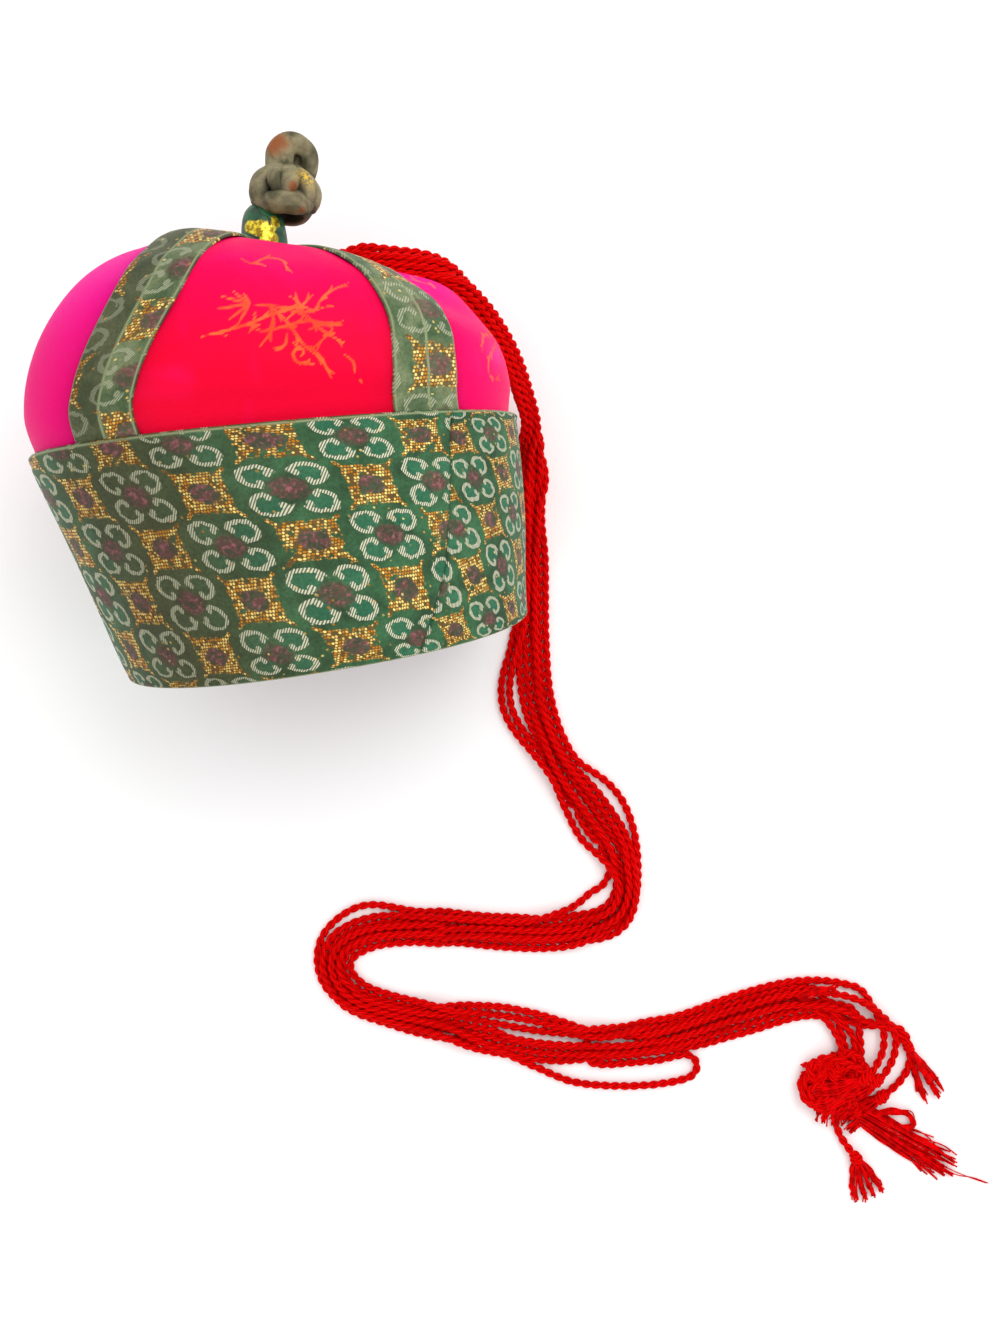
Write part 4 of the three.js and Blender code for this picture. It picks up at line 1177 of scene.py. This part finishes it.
def make_ball():
    rolls = [roll([on_ball(*point) for point in row], BALL_RUST, BALL_GOLD) for row in ROLLS]
    place(joined("knot_ball_cloth", rolls, knot_cloth), "knot_cloth", "knot_ball")
    # A dark core closes the gaps between the rolls: its darkness is painted shade.
    core = BALL_HALF[0] - 7.5
    steps = np.linspace(-math.pi / 2, math.pi / 2, 17)
    line = np.array([at_finial(np.array(BALL_MIDDLE) + (0, 0, 0.8 * core * math.sin(t))) for t in steps])
    radius = np.array([core * math.cos(t) + 0.3 for t in steps])
    points, faces = tube(line, radius[:, None], 24)
    zero = np.zeros(len(points))
    fields = {"rust": zero, "gold": zero, "shade": zero + 0.22}
    piece = make_mesh("knot_ball_heart", points, faces, knot_cloth, fields=fields)
    place(piece, "knot_cloth", "knot_ball")


def make_loop():
    arms = [[(*at_finial(row[:3]), row[3]) for row in arm] for arm in (LOOP, LOOP_BACK)]
    rolls = [roll(arm, LOOP_RUST, LOOP_GOLD) for arm in arms]
    place(joined("knot_loop_cloth", rolls, knot_cloth), "knot_cloth", "knot_loop")


def make_collar():
    rows = through([(*at_finial((shift, 0, up)), half) for up, shift, half in COLLAR_WRAPS], COLLAR_STEP)
    fold = np.sin(np.arange(COLLAR_SIDES) / COLLAR_SIDES * 2 * math.pi * COLLAR_FOLDS)[None, :]
    points, faces = tube(rows[:, :3], rows[:, 3:] * (1 + 0.018 * fold), COLLAR_SIDES)
    fields = {"gold": spots(points, COLLAR_GOLD)}
    piece = make_mesh("knot_collar_cloth", points, faces, foil, fields=fields)
    place(piece, "collar_cloth", "knot_collar")


make_ball()
make_loop()
make_collar()


# Tassels: each cord ends in a wrapped knot with a skirt of threads. Lead, knot and tip are on the floor.
# Rows: node, cord, lead, tip, width of the skirt, rise over the floor, and size of the knot.
TASSELS = [
    ("tassel_right", 0, [(254, -389), (260, -397), (266, -408)], (275, -441), 15, 0, 0.72),
    ("tassel_long", 1, [(240, -393), (238, -410), (230, -424), (229, -437)], (277, -483), 18, 0, 0.8),
    (
        "tassel_near", 2, [(232, -388), (230, -410), (217, -436), (217, -448), (223, -463)],
        (226, -488), 21, 0, 0.85,
    ),
    (
        "tassel_heap", 3, [(256, -389), (264, -397), (267, -408), (264, -419), (256, -427), (245, -432)],
        (219, -443), 18, 0, 0.9,
    ),
    (
        "tassel_heap", 4, [(226, -377), (233, -387), (237, -398), (232, -409), (224, -413)],
        (202, -412), 17, 2, 0.9,
    ),
    ("tassel_heap", 5, [(218, -377), (227, -390), (228, -402), (221, -412)], (212, -441), 18, 4, 0.9),
    (
        "tassel_heap", 6, [(252, -388), (260, -396), (258, -408), (250, -418), (243, -421)],
        (210, -431), 18, 5, 0.9,
    ),
    (
        "tassel_heap", 7, [(248, -385), (254, -395), (251, -406), (244, -414), (237, -418)],
        (204, -424), 18, 7, 0.9,
    ),
]
# Some skirts, by cord: how narrow they start, and where their threads gather in prongs.
SHAPES = {0: (0.2, (-0.75, 0.35, 0.8)), 1: (0.6, ()), 2: (0.3, (-0.8, -0.2, 0.25, 0.8))}
PLAIN_SHAPE = (0.24, ())
THREAD, THREADS, THREAD_STEP, THREAD_SIDES = 0.44, 84, 1.5, 4
HEAP_MIDDLE, HEAP_REACH, HEAP_LOOPS = np.array([221, -418]), np.array([20.5, 16]), 8
# The turns of a knot, and its core: places along it and half widths, for a knot of size 1.
KNOT_TURNS = [(-2.4, 2.2), (0.2, 3.0), (2.7, 2.3)]
KNOT_CORE = (1.2, 2.0, 2.5, 2.8, 2.8, 2.6, 2.3, 1.6)
# Loose ends: a frayed tuft on the bundle, thread loops beside the long tassel, and its one long hair.
TUFT = [(212, -366, 9.5), (222, -363.5, 11), (232, -364.5, 11.5)]
THREAD_LOOP = [(236, -441, 4), (249, -441, 4), (258, -446, 3), (259, -452, 2), (247, -450, 2)]
HAIR = [(262, -470, 1.2), (277, -484, 1.0), (286, -489, 0.8), (294, -494, 0.7)]


def skirt(knot, tip, wide, rise, neck, prongs):
    """Threads that spread from a knot to a ragged end, and settle on the floor or on the heap."""
    run = tip - knot
    length = np.linalg.norm(run)
    run = run / length
    across = np.array([-run[1], run[0]])
    clumps = np.array(prongs) if prongs else random.uniform(-1, 1, 7)
    hold = 0.8 if prongs else 0.45
    made = []
    for _ in range(THREADS):
        side, height = random.uniform(-1, 1), random.uniform(0, 1)
        near = clumps[np.abs(clumps - side).argmin()]
        reach = length * random.uniform(0.74, 1.04) * (1 - 0.1 * abs(side))
        bend, turns, start = random.normal(0, 1.1), random.uniform(0.8, 2.2), random.uniform(0, 6)
        line = []
        for share in (0, 0.12, 0.25, 0.4, 0.55, 0.7, 0.85, 1):
            spread = (side + (near - side) * hold * share) * (neck + (1 - neck) * share ** 0.8)
            curl = bend * math.sin(start + 2 * math.pi * turns * share) * (0.25 + share) * 0.7
            at = knot + run * (1 + share * (reach - 1)) + across * (spread * wide / 2 + curl)
            top = (6.8 - 3.6 * share) * math.sqrt(max(0, 1 - side * side)) * height
            line.append((*at, THREAD + 0.15 + rise + top))
        made.append(strand(through(line, THREAD_STEP), THREAD * random.uniform(0.8, 1.2), THREAD_SIDES))
    return made


def knot_wraps(knot, direction, rise, size):
    """A hard round knot: turns of the cord wrapped round its own end."""
    direction = np.array([*direction, 0.0])
    across = np.cross((0, 0, 1), direction)
    middle = np.array([*knot, rise + 0.2 + 4.2 * size])
    angle = np.linspace(0, 2 * math.pi, 20)[:, None]
    parts = []
    for step, half in KNOT_TURNS:
        ring = direction * (step + 1.1 * np.sin(angle)) + across * half * np.cos(angle)
        parts.append(strand(middle + (ring + np.array([0, 0, half]) * np.sin(angle)) * size, 1.5 * size, 8))
    core = middle + direction * np.linspace(-4.5, 5, len(KNOT_CORE))[:, None] * size
    parts.append(strand(core, np.array(KNOT_CORE)[:, None] * size, 10))
    return parts


def tangle():
    """Slack loops of cord that lie over each other in the heap."""
    made = []
    for k in range(HEAP_LOOPS):
        a, b, c, d = random.uniform(0, 2 * math.pi, 4)
        t = np.linspace(0, 2 * math.pi * 1.1, 26)
        x = 0.72 * np.cos(t + a) + 0.26 * np.cos(2.6 * t + b)
        y = 0.72 * np.sin(t + a) + 0.26 * np.sin(3.1 * t + c)
        z = 2.6 + (1.8 + 0.8 * k) * (1 - 0.35 * np.minimum(1, np.hypot(x, y))) + 1.8 * np.sin(2.3 * t + d)
        on_floor = HEAP_MIDDLE + HEAP_REACH * np.stack([x, y], 1)
        made += rope(np.column_stack([on_floor, np.clip(z, 2.5, 12.2)]), a)[0]
    return made


def loose_threads(points, number, spread, radius=THREAD):
    made = []
    for _ in range(number):
        line = np.array(points, float) + random.normal(0, spread, (len(points), 3)) * (1, 1, 0.4)
        line[:, 2] = np.maximum(line[:, 2], radius + 0.1)
        made.append(strand(through(line, THREAD_STEP), radius * random.uniform(0.8, 1.1), THREAD_SIDES))
    return made


def make_extras():
    """Loose pieces that go with a cord, by cord: each has its node and its piece."""
    return {
        3: [("tassel_heap", joined("tassel_heap_tangle", tangle(), cord_red))],
        1: [
            ("tassel_long", joined("tassel_long_loops", loose_threads(THREAD_LOOP, 26, 1.1), thread_red)),
            ("tassel_long", joined("tassel_long_hair", loose_threads(HAIR, 2, 0.4, 0.3), thread_red)),
        ],
        0: [("tassel_heap", joined("tassel_heap_tuft", loose_threads(TUFT, 16, 1.1), thread_red))],
    }


def cord_path(which, lead, foot, rise):
    """A cord's line from the cap to its knot, over the points of its lead."""
    line = cord_lines[which]
    last = int(np.linalg.norm(line[:, :2] - np.array(lead[0]), axis=1).argmin())
    height = STRAND / 2 + 0.2
    ends = [(x, y, height + rise * k / (len(lead) - 1)) for k, (x, y) in enumerate(lead[1:-1], 1)]
    path = through(np.vstack([line[: last - 2], *ends, foot]), STATION)
    path[1:-1] = (path[2:] + path[:-2] + 2 * path[1:-1]) / 4
    return path


def make_cords():
    extras = make_extras()
    for node, which, lead, tip, wide, rise, size in TASSELS:
        knot, tip = np.array(lead[-1], float), np.array(tip, float)
        direction, ahead = unit(knot - np.array(lead[-2], float)), unit(tip - knot)
        threads = skirt(knot + ahead * 2, tip, wide, rise, *SHAPES.get(which, PLAIN_SHAPE))
        skirt_piece = joined(f"{node}_skirt_{which}", threads, thread_red)
        wraps = knot_wraps(knot, (direction + ahead) / 2, rise, size)
        knot_piece = joined(f"{node}_knot_{which}", wraps, cord_red)
        ends = [(node, knot_piece), (node, skirt_piece), *extras.get(which, [])]
        for owner, piece in ends:
            place(piece, "cord", owner)
        foot = (*(knot - direction * 2.5), rise + 0.2 + 4 * size)
        plies, middle = rope(cord_path(which, lead, foot, rise), which * 1.7)
        piece = joined(f"cord_{which}", plies, cord_red)
        place(piece, "cord", "cord_bundle")


make_cords()


# The floor and a soft studio light, which is a little stronger from the right.
FLOOR_HALF = 4000
# Lamps: name, place in metres, watts and size. They face one place on the hat.
LAMPS = [("key", (0.7, 0.35, 1.3), 7, 0.9), ("fill", (-0.9, -0.9, 1.2), 2, 1.0)]
LIT = Vector((0.02, -0.12, 0.05))


def make_stage():
    shader = Shader("floor_paper", roughness=0.9, specular=0.1)
    shader.surface.inputs["Base Color"].default_value = (0.97, 0.97, 0.97, 1)
    far = FLOOR_HALF
    corners = [(-far, -far, 0), (far, -far, 0), (far, far, 0), (-far, far, 0)]
    make_mesh("floor", corners, [(0, 1, 2, 3)], shader.material)
    world = bpy.data.worlds.new("studio")
    scene.world = world
    world.use_nodes = True
    world.node_tree.nodes["Background"].inputs[0].default_value = (1, 1, 1, 1)
    world.node_tree.nodes["Background"].inputs[1].default_value = 1.0
    for name, location, power, size in LAMPS:
        lamp = bpy.data.lights.new(name, "AREA")
        lamp.energy, lamp.size = power, size
        light = bpy.data.objects.new(name, lamp)
        light.location = location
        light.rotation_euler = (LIT - light.location).to_track_quat("-Z", "Y").to_euler()
        scene.collection.objects.link(light)
    scene.view_settings.view_transform = "Standard"
    scene.view_settings.look = "None"


make_stage()
